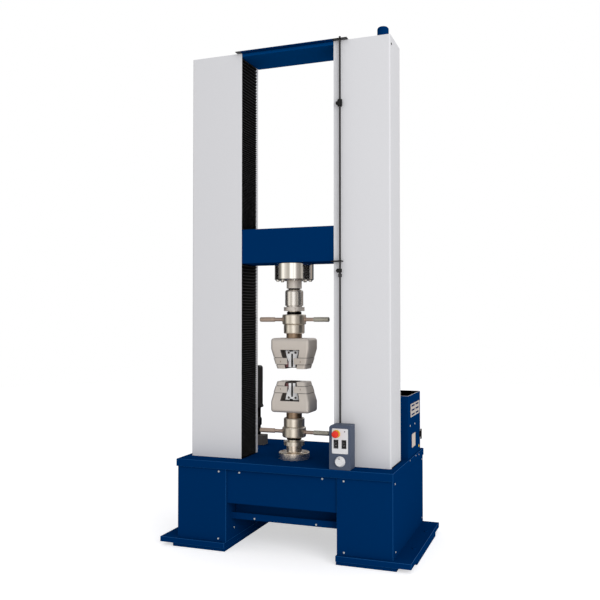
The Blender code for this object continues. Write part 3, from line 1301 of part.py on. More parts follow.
def make_isolator_switch():
    """Rotary switch with a bar handle on the cabinet's side. It turns about X."""
    origin = (CABINET_RIGHT, CABINET_FRONT + ISOLATOR_SETBACK, ISOLATOR_Z)
    back = RUNNING_GAP
    front = back + ISOLATOR_LENGTH
    stem_end = -3 * SHEET
    profile = [(0.0, front), (ISOLATOR_RADIUS, front), (ISOLATOR_RADIUS, back),
               (ISOLATOR_SHAFT_RADIUS, back), (ISOLATOR_SHAFT_RADIUS, stem_end), (0.0, stem_end)]
    piece = add_turned("isolator_switch", profile, BLACK_PLASTIC, origin, SMALL_STEPS)
    half_length = ISOLATOR_BAR_LENGTH / 2
    half_width = ISOLATOR_BAR_WIDTH / 2
    handle = box_mesh(((-half_length, -half_width, front - ISOLATOR_LENGTH / 2),
                       (half_length, half_width, front + ISOLATOR_BAR_HEIGHT)))
    cutter = combine(piece, "UNION", handle, "handle")
    for item in (piece, cutter):
        item.rotation_euler = (0.0, math.pi / 2, 0.0)
    return piece


def make_rear_stand():
    """Block on the table with a post, a clamp ring and an upright rounded housing."""
    low = TABLE_TOP + SEAT_GAP
    origin = Vector((STAND_SIDE_SETBACK - TABLE_WIDTH / 2, TABLE_FRONT + STAND_SETBACK, low))
    half = Vector((STAND_BLOCK_WIDTH / 2, STAND_BLOCK_DEPTH / 2, 0.0))
    block_top = Vector((0.0, 0.0, STAND_BLOCK_HEIGHT))
    piece = add_piece("rear_stand", box_mesh((-half, half + block_top)), BLACK_PLASTIC, origin)
    bevel(piece, STAND_POST_RADIUS / 3)
    housing_low = STAND_HOUSING_BOTTOM - low
    post_low = STAND_BLOCK_HEIGHT / 2
    overlap = STAND_HOUSING_WIDTH / 2
    post_length = housing_low + overlap - post_low
    post_middle = post_low + post_length / 2
    post = cylinder_mesh((0.0, 0.0, post_middle), STAND_POST_RADIUS, post_length, "Z", SMALL_STEPS)
    combine(piece, "UNION", post, "post")
    clamp_middle = STAND_CLAMP_BOTTOM - low + STAND_CLAMP_HEIGHT / 2
    clamp = cylinder_mesh((0.0, 0.0, clamp_middle), STAND_CLAMP_RADIUS, STAND_CLAMP_HEIGHT, "Z",
                          SMALL_STEPS)
    combine(piece, "UNION", clamp, "clamp")

    def housing(shape):
        reach = Vector((STAND_HOUSING_WIDTH / 2, STAND_HOUSING_DEPTH / 2, 0.0))
        add_box(shape, Vector((0.0, 0.0, housing_low)) - reach,
                Vector((0.0, 0.0, housing_low + STAND_HOUSING_HEIGHT)) + reach)
        bmesh.ops.bevel(shape, geom=shape.edges, offset=STAND_HOUSING_WIDTH / 4, segments=2,
                        affect="EDGES", profile=0.5)

    combine(piece, "UNION", mesh_from(housing), "housing")
    return piece


def make_base():
    """Feet, pedestals, panels, table and drive."""
    make_foot_frame("left_foot_frame", -1)
    make_foot_frame("right_foot_frame", 1)
    make_pedestal_cover("left_pedestal_cover", -1)
    make_pedestal_cover("right_pedestal_cover", 1)
    make_front_apron()
    make_belly_pan()
    make_rear_panel()
    make_table_plate()
    make_motor_tray()
    make_drive_motor()
    make_motor_pulley()
    make_drive_belt()
    make_ball_screw("left_ball_screw", -1)
    make_ball_screw("right_ball_screw", 1)


def make_columns():
    """Covers, guides, bellows and the top of the frame."""
    for side, word in ((-1, "left"), (1, "right")):
        make_column_cover(f"{word}_column_cover", side)
        make_guide_column(f"{word}_guide_column", side)
        make_bellows(f"upper_{word}_bellows", side, CROSSHEAD_TOP + SEAT_GAP, YOKE_BOTTOM - SEAT_GAP)
        make_bellows(f"lower_{word}_bellows", side, TABLE_TOP + SEAT_GAP, CROSSHEAD_BOTTOM - SEAT_GAP)
    make_top_yoke()
    make_top_plate()
    make_top_boss()


def make_grip(prefix, mouth, up, stem_length, spindle_end, nut_low):
    """All pieces of one wedge grip. up is 1 for the upper grip and -1 for the lower one."""
    make_spindle(f"{prefix}_stem", mouth, up, stem_length, spindle_end)
    make_collar(f"{prefix}_collar", mouth, up, stem_length)
    make_ring_nut(f"{prefix}_ring_nut", nut_low)
    make_grip_body(f"{prefix}_grip_body", mouth, up)
    make_strap(f"{prefix}_jaw_strap", mouth, up)
    make_jaw(f"{prefix}_left_jaw", mouth, up, -1)
    make_jaw(f"{prefix}_right_jaw", mouth, up, 1)


def make_load_string():
    """Crosshead with what hangs on it, and the lower grip on its flange."""
    make_crosshead()
    make_ball_nut("left_ball_nut", -1)
    make_ball_nut("right_ball_nut", 1)
    make_load_cell()
    make_load_cell_stud()
    make_coupling_sleeve()
    spindle_top = STUD_BOTTOM - STUD_SPIGOT_LENGTH - SEAT_GAP
    upper_nut = COUPLING_BOTTOM - COUPLING_LIP_LENGTH - 2 * SEAT_GAP - RING_NUT_HEIGHT
    make_grip("upper", UPPER_MOUTH, 1, UPPER_STEM_LENGTH, spindle_top, upper_nut)
    make_lower_flange()
    make_grip("lower", LOWER_MOUTH, -1, LOWER_STEM_LENGTH, FLANGE_NECK_TOP + SEAT_GAP,
              FLANGE_NECK_TOP + SEAT_GAP)


def make_fittings():
    """Limit rod, control box, cabinet and the stand behind."""
    make_limit_rod()
    make_upper_stop()
    make_lower_stop()
    make_trip_arm()
    make_control_box()
    make_control_panel()
    make_emergency_stop()
    make_rocker("left_rocker", ROCKER_X[0])
    make_rocker("right_rocker", ROCKER_X[1])
    make_speed_knob()
    make_cabinet()
    make_vent_grille()
    make_isolator_switch()
    make_rear_stand()


clear_scene()
PARTS = make_collection("universal_testing_machine")
CUTTERS = make_collection("cutters")
make_base()
make_columns()
make_load_string()
make_fittings()
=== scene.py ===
"""Finished surfaces of a two-column universal testing machine, laid out as an add-on and run as a script."""
import math

import bmesh
import bpy
from mathutils import Matrix, Vector


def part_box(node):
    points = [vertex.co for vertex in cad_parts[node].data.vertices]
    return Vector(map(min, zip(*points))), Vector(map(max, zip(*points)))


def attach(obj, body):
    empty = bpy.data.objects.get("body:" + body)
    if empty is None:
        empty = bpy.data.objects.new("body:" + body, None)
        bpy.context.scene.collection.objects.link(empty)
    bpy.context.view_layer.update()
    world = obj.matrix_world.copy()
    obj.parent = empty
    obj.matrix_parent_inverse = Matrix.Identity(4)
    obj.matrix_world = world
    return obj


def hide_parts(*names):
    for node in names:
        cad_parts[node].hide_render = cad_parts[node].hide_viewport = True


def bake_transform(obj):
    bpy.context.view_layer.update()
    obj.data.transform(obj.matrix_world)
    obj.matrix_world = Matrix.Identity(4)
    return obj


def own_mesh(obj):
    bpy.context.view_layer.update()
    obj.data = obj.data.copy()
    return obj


bl_info = {
    "name": "Universal testing machine",
    "version": (1, 0, 0),
    "blender": (4, 5, 0),
    "location": "View3D > Sidebar > Testing machine",
    "description": "Models and finishes the pieces of a two-column testing machine over its packed solids",
    "category": "Object",
}

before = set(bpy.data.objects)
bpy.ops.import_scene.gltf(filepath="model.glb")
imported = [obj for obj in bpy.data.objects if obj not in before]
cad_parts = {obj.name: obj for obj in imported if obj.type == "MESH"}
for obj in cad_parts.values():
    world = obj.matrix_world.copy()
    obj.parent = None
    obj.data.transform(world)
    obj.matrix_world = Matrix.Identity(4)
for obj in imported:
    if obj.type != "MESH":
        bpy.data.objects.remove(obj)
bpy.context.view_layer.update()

TABLE_LOW, TABLE_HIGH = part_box("table_plate")
COVER_LOW, COVER_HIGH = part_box("right_column_cover")
CELL_LOW, CELL_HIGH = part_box("load_cell")
LOAD_Y = (CELL_LOW.y + CELL_HIGH.y) / 2
AXIS = Vector((0.0, LOAD_Y, 0.0))
SHEET = 0.002
PEDESTAL_INNER = 0.2594
APRON_FRONT = -0.30595
SCREW_X, GUIDE_X = 0.310, 0.410
SCREW_BORE = 0.0185
BOSS_RADIUS = 0.0450
ROD_X, ROD_Y, ROD_BORE = 0.2552, -0.24485, 0.0052

# Steps in a full turn
STRING_STEPS = 96
STEPS = 72
SMALL_STEPS = 32


def linear(code):
    """An sRGB hex colour as linear RGBA."""
    values = [int(code[start:start + 2], 16) / 255 for start in (1, 3, 5)]
    bent = [value / 12.92 if value <= 0.04045 else ((value + 0.055) / 1.055) ** 2.4 for value in values]
    return (*bent, 1.0)


def length(name, description, default):
    """A length property in metres."""
    return bpy.props.FloatProperty(name=name, description=description, default=default, min=0.0,
                                   precision=4, unit="LENGTH", subtype="DISTANCE")


def colour(name, description, code):
    """A colour property with its default from an sRGB hex code."""
    return bpy.props.FloatVectorProperty(name=name, description=description, size=4, min=0.0, max=1.0,
                                         subtype="COLOR", default=linear(code))


class TestingMachineSizes(bpy.types.PropertyGroup):
    """Sizes that shape the finished pieces."""

    sheet_fold: length("Sheet fold radius", "Outside radius of a fold in the base's sheet steel", 0.0030)
    plate_edge: length("Plate edge radius", "Rounding on the edges of plates and castings", 0.0025)
    machined_edge: length("Machined edge", "Edge break on turned and milled steel", 0.0008)
    pleat_pitch: length("Upper pleat pitch", "Distance between two folds at the top of the bellows", 0.0158)
    pleat_pitch_low: length("Lower pleat pitch", "Distance between two folds at the foot of the bellows", 0.0051)
    cover_fold: length("Cover fold radius", "Outside radius of a fold in the column covers", 0.0070)
    grip_rounding: length("Grip rounding", "Radius of the upright and outer edges of the grip bodies", 0.0140)
    strap_rounding: length("Strap rounding", "Radius of the upright edges of the jaw straps", 0.0120)
    screw_head: length("Cover screw head", "Radius of the screws that hold the panels", 0.0042)
    bar_ridge: length("Bar ridge pitch", "Distance between the ridges on a tommy bar's grip", 0.0030)
    yellow_ring: length("Stop ring radius", "Radius of the yellow ring behind the stop button", 0.0172)
    camera_lens: bpy.props.FloatProperty(name="Camera lens", description="Focal length in millimetres",
                                         default=44.64, min=10.0, max=200.0)


class TestingMachineColours(bpy.types.PropertyGroup):
    """Colours of the painted, plated and moulded surfaces."""

    base_blue: colour("Base blue", "Powder coat on the base, the crosshead and the cabinet", "#002F62")
    # Painted highlight: a lighter blue for the rounded folds of the base, where they catch the light
    fold_highlight_blue: colour("Fold blue", "Thin coat on the folds of the base", "#1C5590")
    yoke_blue: colour("Yoke blue", "Powder coat on the yoke under the top plate", "#00407A")
    cover_grey: colour("Cover grey", "Powder coat on the column covers", "#E4E4E6")
    nickel: colour("Nickel", "Plated steel of the load string", "#F8F4EE")
    brushed: colour("Brushed nickel", "Collars and shoulders", "#FFF8EC")
    blasted: colour("Blasted nickel", "Bead-blasted grip bodies", "#F6EFE8")
    jaw: colour("Ground steel", "Faces of the jaws", "#FFFFFF")
    oxide: colour("Brown oxide", "Short stems with a brown oxide", "#BCA48E")
    # Painted shade: a dark grey that stands in for the shade in the pockets, the channels and behind the jaws
    pocket: colour("Pocket steel", "Milled walls of the pockets and channels", "#625C58")
    dark_oxide: colour("Black oxide", "Small dark steel parts", "#1C1B1B")
    rod_grey: colour("Rod grey", "Phosphated limit rod", "#6A6A6C")
    maroon: colour("Maroon", "Liner beside the left jaw", "#6E4446")
    bellows: colour("Bellows black", "Coated cloth of the bellows", "#070708")
    box_slate: colour("Control box slate", "Textured paint of the control box", "#4E586B")
    panel_white: colour("Panel white", "Front plate and speed knob", "#E9E9EA")
    stop_red: colour("Stop red", "Stop button", "#F0301A")
    stop_yellow: colour("Stop yellow", "Ring behind the stop button", "#E9B816")
    black: colour("Black plastic", "Rockers, stops and handles", "#101012")


def sizes():
    """The size properties of the open scene."""
    return bpy.context.scene.testing_machine_sizes


def colours():
    """The colour properties of the open scene."""
    return bpy.context.scene.testing_machine_colours


# Shapes
def corners(low, high):
    """Lowest and highest corner of a box given by any two opposite corners."""
    return (Vector([min(pair) for pair in zip(low, high)]), Vector([max(pair) for pair in zip(low, high)]))


def sharp_edges(shape, degrees=25.0):
    """Edges where two faces meet at more than an angle."""
    limit = math.radians(degrees)
    return [edge for edge in shape.edges if len(edge.link_faces) == 2 and edge.calc_face_angle(0.0) > limit]


def round_edges(shape, edges, radius, segments=2):
    """Rounds edges to a radius."""
    if radius > 0.0 and edges:
        bmesh.ops.bevel(shape, geom=list(edges), offset=radius, offset_type="OFFSET", affect="EDGES",
                        segments=segments, profile=0.5, material=-1, clamp_overlap=True)
    return shape


def new_verts(grown):
    """The vertices that an extrusion made."""
    return [item for item in grown["geom"] if isinstance(item, bmesh.types.BMVert)]


def box(low, high, radius=0.0, segments=2):
    """A rounded box between two corners."""
    low, high = corners(low, high)
    shape = bmesh.new()
    bmesh.ops.create_cube(shape, size=1.0)
    bmesh.ops.scale(shape, vec=high - low, verts=shape.verts)
    bmesh.ops.translate(shape, vec=(low + high) / 2, verts=shape.verts)
    return round_edges(shape, shape.edges, radius, segments)


TURNS = {
    "Z": Matrix.Identity(4),
    "-Z": Matrix.Rotation(math.pi, 4, "X"),
    "X": Matrix.Rotation(math.pi / 2, 4, "Y"),
    "-X": Matrix.Rotation(-math.pi / 2, 4, "Y"),
    "-Y": Matrix.Rotation(math.pi / 2, 4, "X"),
    "Y": Matrix.Rotation(-math.pi / 2, 4, "X"),
}


def turned(profile, place=(0.0, 0.0, 0.0), axis="Z", steps=STEPS, edge=0.0, segments=2):
    """Spins a profile of (radius, height) points about an axis through a place."""
    shape = bmesh.new()
    verts = [shape.verts.new((radius, 0.0, height)) for radius, height in profile]
    edges = [shape.edges.new(pair) for pair in zip(verts, verts[1:])]
    if profile[0][0] > 0.0:
        edges.append(shape.edges.new((verts[-1], verts[0])))
    bmesh.ops.spin(shape, geom=verts + edges, cent=(0.0, 0.0, 0.0), axis=(0.0, 0.0, 1.0), dvec=(0.0, 0.0, 0.0),
                   angle=2 * math.pi, steps=steps, use_merge=True, use_duplicate=False)
    bmesh.ops.remove_doubles(shape, verts=shape.verts, dist=0.000001)
    bmesh.ops.dissolve_degenerate(shape, edges=shape.edges, dist=0.0000001)
    bmesh.ops.recalc_face_normals(shape, faces=shape.faces)
    round_edges(shape, sharp_edges(shape), edge, segments)
    bmesh.ops.transform(shape, matrix=Matrix.Translation(Vector(place)) @ TURNS[axis], verts=shape.verts)
    return shape


DRAWN = {
    "Z": Matrix.Identity(4),
    "Y": Matrix(((1, 0, 0, 0), (0, 0, 1, 0), (0, 1, 0, 0), (0, 0, 0, 1))),
    "X": Matrix(((0, 0, 1, 0), (1, 0, 0, 0), (0, 1, 0, 0), (0, 0, 0, 1))),
}


def outline_face(shape, outline, holes=()):
    """Faces inside an outline, around its holes, in the plane of Z = 0. Returns the faces."""
    if not holes:
        return [shape.faces.new([shape.verts.new((a, b, 0.0)) for a, b in outline])]
    edges = []
    for loop in (outline, *holes):
        verts = [shape.verts.new((a, b, 0.0)) for a, b in loop]
        edges += [shape.edges.new((verts[step - 1], verts[step])) for step in range(len(verts))]
    filled = bmesh.ops.triangle_fill(shape, use_beauty=True, use_dissolve=False, edges=edges)
    return [item for item in filled["geom"] if isinstance(item, bmesh.types.BMFace)]


def drawn(outline, low, high, axis="Z", radius=0.0, segments=2, holes=()):
    """Draws an outline out between two heights along an axis, and rounds its edges."""
    shape = bmesh.new()
    faces = outline_face(shape, outline, holes)
    grown = bmesh.ops.extrude_face_region(shape, geom=faces)
    bmesh.ops.translate(shape, vec=(0.0, 0.0, high - low), verts=new_verts(grown))
    bmesh.ops.translate(shape, vec=(0.0, 0.0, low), verts=shape.verts)
    bmesh.ops.transform(shape, matrix=DRAWN[axis], verts=shape.verts)
    bmesh.ops.recalc_face_normals(shape, faces=shape.faces)
    return round_edges(shape, sharp_edges(shape), radius, segments)


def folded(path, low, high, inside, axis="Z", radius=0.003, closed=False, window=None):
    """Sheet bent along a path of outside points; inside is a point on the side where its thickness goes."""
    shape = bmesh.new()
    verts = [shape.verts.new((a, b, low)) for a, b in path]
    pairs = list(zip(verts, verts[1:])) + ([(verts[-1], verts[0])] if closed else [])
    edges = [shape.edges.new(pair) for pair in pairs]
    grown = bmesh.ops.extrude_edge_only(shape, edges=edges)
    bmesh.ops.translate(shape, vec=(0.0, 0.0, high - low), verts=new_verts(grown))
    bmesh.ops.recalc_face_normals(shape, faces=shape.faces)
    round_edges(shape, sharp_edges(shape), radius, 3)
    first = max(shape.faces, key=lambda face: face.calc_area())
    towards = Vector((inside[0], inside[1], (low + high) / 2)) - first.calc_center_median()
    if first.normal.dot(towards) > 0.0:
        bmesh.ops.reverse_faces(shape, faces=shape.faces)
    bmesh.ops.transform(shape, matrix=DRAWN[axis], verts=shape.verts)
    if axis != "Z":
        bmesh.ops.reverse_faces(shape, faces=shape.faces)
    if window:
        cut_window(shape, *corners(*window))
    if axis == "X":
        bmesh.ops.reverse_faces(shape, faces=shape.faces)
    bmesh.ops.solidify(shape, geom=list(shape.faces), thickness=SHEET)
    return shape


def cut_window(shape, low, high):
    """Takes away the part of a sheet that lies inside a box."""
    for axis in range(3):
        normal = Vector([float(index == axis) for index in range(3)])
        for corner in (low, high):
            geom = list(shape.verts) + list(shape.edges) + list(shape.faces)
            bmesh.ops.bisect_plane(shape, geom=geom, dist=0.000001, plane_co=corner, plane_no=normal)
    inner = [face for face in shape.faces
             if all(low[axis] < face.calc_center_median()[axis] < high[axis] for axis in range(3))]
    bmesh.ops.delete(shape, geom=inner, context="FACES")


def mark_folds(shape):
    """Marks the narrow faces of rounded folds, which point between two sides, with material 1."""
    for face in shape.faces:
        leaning = sorted(abs(part) for part in face.normal)
        face.material_index = int(leaning[1] > 0.30)
    return shape


def circle(x, y, radius, steps=SMALL_STEPS):
    """Points of a circle."""
    return [(x + radius * math.cos(2 * math.pi * step / steps), y + radius * math.sin(2 * math.pi * step / steps))
            for step in range(steps)]


def rectangle(low_a, low_b, high_a, high_b):
    """Points of a rectangle."""
    return [(low_a, low_b), (high_a, low_b), (high_a, high_b), (low_a, high_b)]


def rounded_rectangle(low_a, low_b, high_a, high_b, radius):
    """Points of a rectangle with round corners."""
    middles = ((high_a - radius, high_b - radius, 0), (low_a + radius, high_b - radius, 90),
               (low_a + radius, low_b + radius, 180), (high_a - radius, low_b + radius, 270))
    return [(a + radius * math.cos(math.radians(start + turn)), b + radius * math.sin(math.radians(start + turn)))
            for a, b, start in middles for turn in (0, 30, 60, 90)]


def screw(radius, height, place, axis="Z", share=0.55):
    """Screw head that stands on a place: a rounded rim with a hexagon socket of a share of its width."""
    shape = bmesh.new()
    bmesh.ops.create_circle(shape, cap_ends=True, radius=radius, segments=24)
    grown = bmesh.ops.extrude_face_region(shape, geom=list(shape.faces))
    bmesh.ops.translate(shape, vec=(0.0, 0.0, height), verts=new_verts(grown))
    bmesh.ops.recalc_face_normals(shape, faces=shape.faces)
    top = max(shape.faces, key=lambda face: face.calc_center_median().z)
    bmesh.ops.inset_individual(shape, faces=[top], thickness=radius * (1 - share))
    for vert in top.verts:
        angle = math.atan2(vert.co.y, vert.co.x)
        reach = radius * share / math.cos((angle % (math.pi / 3)) - math.pi / 6)
        vert.co.x, vert.co.y = reach * math.cos(angle), reach * math.sin(angle)
    sunk = bmesh.ops.extrude_discrete_faces(shape, faces=[top])["faces"]
    bmesh.ops.translate(shape, vec=(0.0, 0.0, -height * 0.6), verts=sunk[0].verts)
    rim = [edge for edge in shape.edges if len(edge.link_faces) == 2
           and all(abs(vert.co.z - height) < 0.000001 and vert.co.xy.length > radius * 0.99 for vert in edge.verts)]
    round_edges(shape, rim, min(height * 0.4, radius * 0.3), 3)
    bmesh.ops.transform(shape, matrix=Matrix.Translation(Vector(place)) @ TURNS[axis], verts=shape.verts)
    return shape


class Piece:
    """Gathers shapes with their finishes, and becomes one object that rides on a body."""

    def __init__(self, name):
        self.name = name
        self.gathered = bmesh.new()
        self.finishes = []

    def add(self, shape, finish, other=None):
        """Adds one closed shape in a finish. Faces marked with material 1 get the other finish."""
        for given in (finish, other or finish):
            if given not in self.finishes:
                self.finishes.append(given)
        for face in shape.faces:
            face.material_index = self.finishes.index(other if other and face.material_index else finish)
        held = bpy.data.meshes.new("held")
        shape.to_mesh(held)
        shape.free()
        self.gathered.from_mesh(held)
        bpy.data.meshes.remove(held)

    def mesh(self, smooth=40.0):
        """The gathered mesh as an object, shaded smooth up to an angle."""
        mesh = bpy.data.meshes.new(self.name)
        self.gathered.to_mesh(mesh)
        self.gathered.free()
        mesh.shade_smooth()
        mesh.set_sharp_from_angle(angle=math.radians(smooth))
        for finish in self.finishes:
            mesh.materials.append(finish)
        made = bpy.data.objects.new(self.name, mesh)
        bpy.context.scene.collection.objects.link(made)
        return made

    def ride(self, body, slot, *nodes, smooth=40.0):
        """Finishes the piece with even normals and puts it on its body, in place of CAD nodes."""
        made = self.mesh(smooth)
        even = made.modifiers.new("Even normals", "WEIGHTED_NORMAL")
        even.keep_sharp = True
        even.weight = 50
        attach(made, body)
        if nodes:
            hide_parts(*nodes)
        return made


# Finishes
def add_node(tree, kind, inputs=None, **settings):
    """Adds a node, sets its properties, and fills or links its inputs."""
    made = tree.nodes.new(kind)
    for name, value in settings.items():
        setattr(made, name, value)
    for name, value in (inputs or {}).items():
        if isinstance(value, bpy.types.NodeSocket):
            tree.links.new(value, made.inputs[name])
        else:
            made.inputs[name].default_value = value
    return made


def new_finish(name, **values):
    """A material with one Principled shader; returns it, its tree, its shader and its Object coordinates."""
    material = bpy.data.materials.new(name)
    material.use_nodes = True
    tree = material.node_tree
    tree.nodes.clear()
    values = {key.replace("_", " ").title().replace("Ior", "IOR"): value for key, value in values.items()}
    shader = add_node(tree, "ShaderNodeBsdfPrincipled", values)
    add_node(tree, "ShaderNodeOutputMaterial", {"Surface": shader.outputs["BSDF"]})
    return material, tree, shader, add_node(tree, "ShaderNodeTexCoord").outputs["Object"]


def vary(tree, shader, pattern, tint, low, high, spread, depth):
    """Lets a pattern shade the base colour, move the roughness and raise the surface a little."""
    shade = tuple(value * tint_value for value, tint_value in zip(low, tint)) + (1.0,)
    mixed = add_node(tree, "ShaderNodeMix", {0: pattern, 6: low, 7: shade}, data_type="RGBA")
    tree.links.new(mixed.outputs[2], shader.inputs["Base Color"])
    rough = add_node(tree, "ShaderNodeMapRange", {"Value": pattern, "To Min": high, "To Max": high + spread})
    tree.links.new(rough.outputs["Result"], shader.inputs["Roughness"])
    bump = add_node(tree, "ShaderNodeBump", {"Height": pattern, "Strength": 1.0, "Distance": depth})
    tree.links.new(bump.outputs["Normal"], shader.inputs["Normal"])


def powder_coat(name, base, peel, depth, roughness, gloss):
    """Powder coat sprayed on steel and baked: an even colour with a soft orange peel."""
    material, tree, shader, place = new_finish(name, specular_ior_level=gloss)
    waves = add_node(tree, "ShaderNodeTexNoise", {"Vector": place, "Scale": 1 / peel, "Detail": 2.0})
    vary(tree, shader, waves.outputs["Fac"], (0.93, 0.93, 0.93), base, roughness, 0.08, depth)
    return material


def cut_steel(name, base, roughness, pitch, along, depth, tint=(0.80, 0.78, 0.75), metallic=1.0):
    """Steel with its tool marks: fine lines square to the direction in which the tool moved along."""
    material, tree, shader, place = new_finish(name, metallic=metallic)
    stretch = [1 / pitch if axis == along else 1 / (60 * pitch) for axis in "XYZ"]
    lines = add_node(tree, "ShaderNodeMapping", {"Vector": place, "Scale": stretch})
    marks = add_node(tree, "ShaderNodeTexNoise", {"Vector": lines.outputs["Vector"], "Scale": 1.0, "Detail": 3.0,
                                                  "Roughness": 0.6})
    vary(tree, shader, marks.outputs["Fac"], tint, base, roughness, 0.5 * roughness, depth)
    return material


def blasted_steel(name, base, roughness, grain, depth, metallic=1.0):
    """Steel blasted with glass beads: a matte skin of tiny dents that spreads the light."""
    material, tree, shader, place = new_finish(name, metallic=metallic)
    dents = add_node(tree, "ShaderNodeTexNoise", {"Vector": place, "Scale": 1 / grain, "Detail": 4.0,
                                                  "Roughness": 0.7})
    vary(tree, shader, dents.outputs["Fac"], (0.86, 0.85, 0.84), base, roughness, 0.08, depth)
    return material


def moulded_plastic(name, base, roughness, grain, depth):
    """Plastic moulded in a spark-eroded tool: a fine even grain with a soft sheen."""
    material, tree, shader, place = new_finish(name)
    pits = add_node(tree, "ShaderNodeTexVoronoi", {"Vector": place, "Scale": 1 / grain})
    vary(tree, shader, pits.outputs["Distance"], (0.92, 0.92, 0.92), base, roughness, 0.08, depth)
    return material


def blue_paint():
    """Matt deep blue powder coat; its peel of 2.5 mm only just breaks up the even colour."""
    return powder_coat("blue_powder_coat", colours().base_blue, 0.0025, 0.00002, 0.55, 0.0)


def blue_fold_highlight():
    """The same blue drawn lighter on the sharp folds: a painted highlight where the folds catch the light."""
    return powder_coat("painted_fold_highlight", colours().fold_highlight_blue, 0.0025, 0.00001, 0.40, 0.10)


def yoke_paint():
    """Matt blue powder coat on the yoke, a little lighter than on the base, so that its shaded underside reads."""
    return powder_coat("yoke_powder_coat", colours().yoke_blue, 0.0025, 0.00002, 0.55, 0.0)


def grey_paint():
    """Light grey powder coat with a fine 1.2 mm texture that keeps the tall covers matte."""
    return powder_coat("light_grey_powder_coat", colours().cover_grey, 0.0012, 0.00003, 0.50, 0.15)


def box_paint():
    """Slate grey wrinkle paint: a 1.5 mm texture, drawn coarse enough to show."""
    return powder_coat("slate_wrinkle_paint", colours().box_slate, 0.0015, 0.00006, 0.55, 0.30)


def black_paint():
    """Black enamel on small brackets and housings: smooth, with soft highlights."""
    return powder_coat("black_enamel", colours().black, 0.0030, 0.00003, 0.35, 0.40)


def white_panel():
    """White screen-printed front plate with a soft grain."""
    return powder_coat("white_front_plate", colours().panel_white, 0.0010, 0.00001, 0.45, 0.35)


def nickel_steel():
    """Turned and nickel-plated steel; its 0.8 mm tool marks stretch the highlight round the part."""
    return cut_steel("turned_nickel_steel", colours().nickel, 0.06, 0.0008, "Z", 0.000002, (0.95, 0.95, 0.94), 0.97)


def satin_steel():
    """Satin nickel of the sleeve: fine 0.8 mm turning marks that soften what it mirrors."""
    return cut_steel("satin_nickel_steel", colours().nickel, 0.20, 0.0008, "Z", 0.000005, (0.92, 0.90, 0.88), 0.90)


def flange_steel():
    """Faced flange: 1 mm turning marks that a light oxide has dulled."""
    return cut_steel("faced_flange_steel", linear("#FFF4E6"), 0.20, 0.0010, "Z", 0.000005, (0.92, 0.89, 0.85), 0.93)


def bar_steel():
    """Bright drawn steel of the tommy bars, with marks across the bar."""
    return cut_steel("drawn_bar_steel", linear("#E4CFC2"), 0.26, 0.0008, "X", 0.000005, (0.85, 0.82, 0.80), 0.85)


def brushed_collar():
    """Collar steel brushed round its rim: 1.5 mm lines, drawn coarse enough to show."""
    return cut_steel("brushed_collar_steel", colours().brushed, 0.25, 0.0015, "Z", 0.00002, (0.90, 0.88, 0.85), 0.94)


def blasted_grip():
    """Bead-blasted nickel-plated grip body; its 0.6 mm dents give a soft matte face."""
    return blasted_steel("bead_blasted_nickel", colours().blasted, 0.44, 0.0006, 0.00003, 0.70)


def jaw_steel():
    """Satin-ground jaw plate: pale even where little light gets into the pocket, so it mirrors nothing."""
    return cut_steel("ground_jaw_steel", colours().jaw, 0.40, 0.0006, "X", 0.00001, (0.97, 0.97, 0.96), 0.0)


def pocket_painted_shade():
    """Milled steel of the pocket, the strap's channel and the jaws' backs, drawn dark grey and hardly bright: painted
    shade in these recesses.
    """
    return cut_steel("milled_steel_painted_shade", colours().pocket, 0.55, 0.0012, "Z", 0.00001, metallic=0.35)


def oxide_steel():
    """Steel with a brown oxide skin over its turning marks: warm, with a dull highlight."""
    return cut_steel("brown_oxide_steel", colours().oxide, 0.32, 0.0010, "Z", 0.00001, (0.70, 0.66, 0.60))


def dark_steel():
    """Black-oxide steel of screws, rings and small brackets: near black, with a narrow highlight."""
    return cut_steel("black_oxide_steel", colours().dark_oxide, 0.30, 0.0008, "Z", 0.00001)


def phosphated_steel():
    """Phosphated grey steel of the limit rod: dull and even."""
    return blasted_steel("phosphated_steel", colours().rod_grey, 0.50, 0.0010, 0.00001)


def maroon_liner():
    """Maroon fibre liner beside the left jaw: a dull spot of colour."""
    return moulded_plastic("maroon_liner", colours().maroon, 0.50, 0.0010, 0.00002)


def tan_grip():
    """Knurled tan grip of the left tommy bars; the knurl's ridges are modelled."""
    return cut_steel("tan_bar_grip", linear("#E2CDBE"), 0.40, 0.0010, "X", 0.00001, (0.80, 0.77, 0.72), 0.65)


def grey_grip():
    """Knurled grey grip of the right tommy bars, made as the tan one."""
    return cut_steel("grey_bar_grip", linear("#DAD7CA"), 0.40, 0.0010, "X", 0.00001, (0.80, 0.78, 0.76), 0.65)


def zinc_steel():
    """Zinc-plated steel of the panel screws: pale, with a light haze."""
    return blasted_steel("zinc_plated_steel", linear("#F2F6F8"), 0.45, 0.0020, 0.00001, 0.6)


def bellows_cloth():
    """Black cloth with a rubber coating: a 1.2 mm weave shows through as a faint relief."""
    material, tree, shader, place = new_finish("coated_bellows_cloth", specular_ior_level=0.12)
    weave = add_node(tree, "ShaderNodeTexWave", {"Vector": place, "Scale": 1 / 0.0075, "Distortion": 0.3},
                     bands_direction="Y")
    vary(tree, shader, weave.outputs["Fac"], (0.75, 0.75, 0.75), colours().bellows, 0.55, 0.12, 0.00004)
    return material


def pleat_crest_highlight():
    """Crest of a bellows fold, drawn as a fine paler grey line: a painted highlight where the crest catches the light.
    """
    return moulded_plastic("painted_pleat_highlight", linear("#4A4A4C"), 0.55, 0.0012, 0.00002)


def stand_block():
    """Dark grey-brown paint on the stand's block, nearly matt."""
    return powder_coat("stand_block_paint", linear("#6C6763"), 0.0015, 0.00002, 0.50, 0.20)


def black_plastic():
    """Black moulded plastic with a 0.8 mm grain that softens its highlights."""
    return moulded_plastic("black_moulded_plastic", colours().black, 0.36, 0.0008, 0.00002)


def white_plastic():
    """White moulded plastic of the speed knob, smooth and half glossy."""
    return moulded_plastic("white_moulded_plastic", colours().panel_white, 0.30, 0.0010, 0.00001)


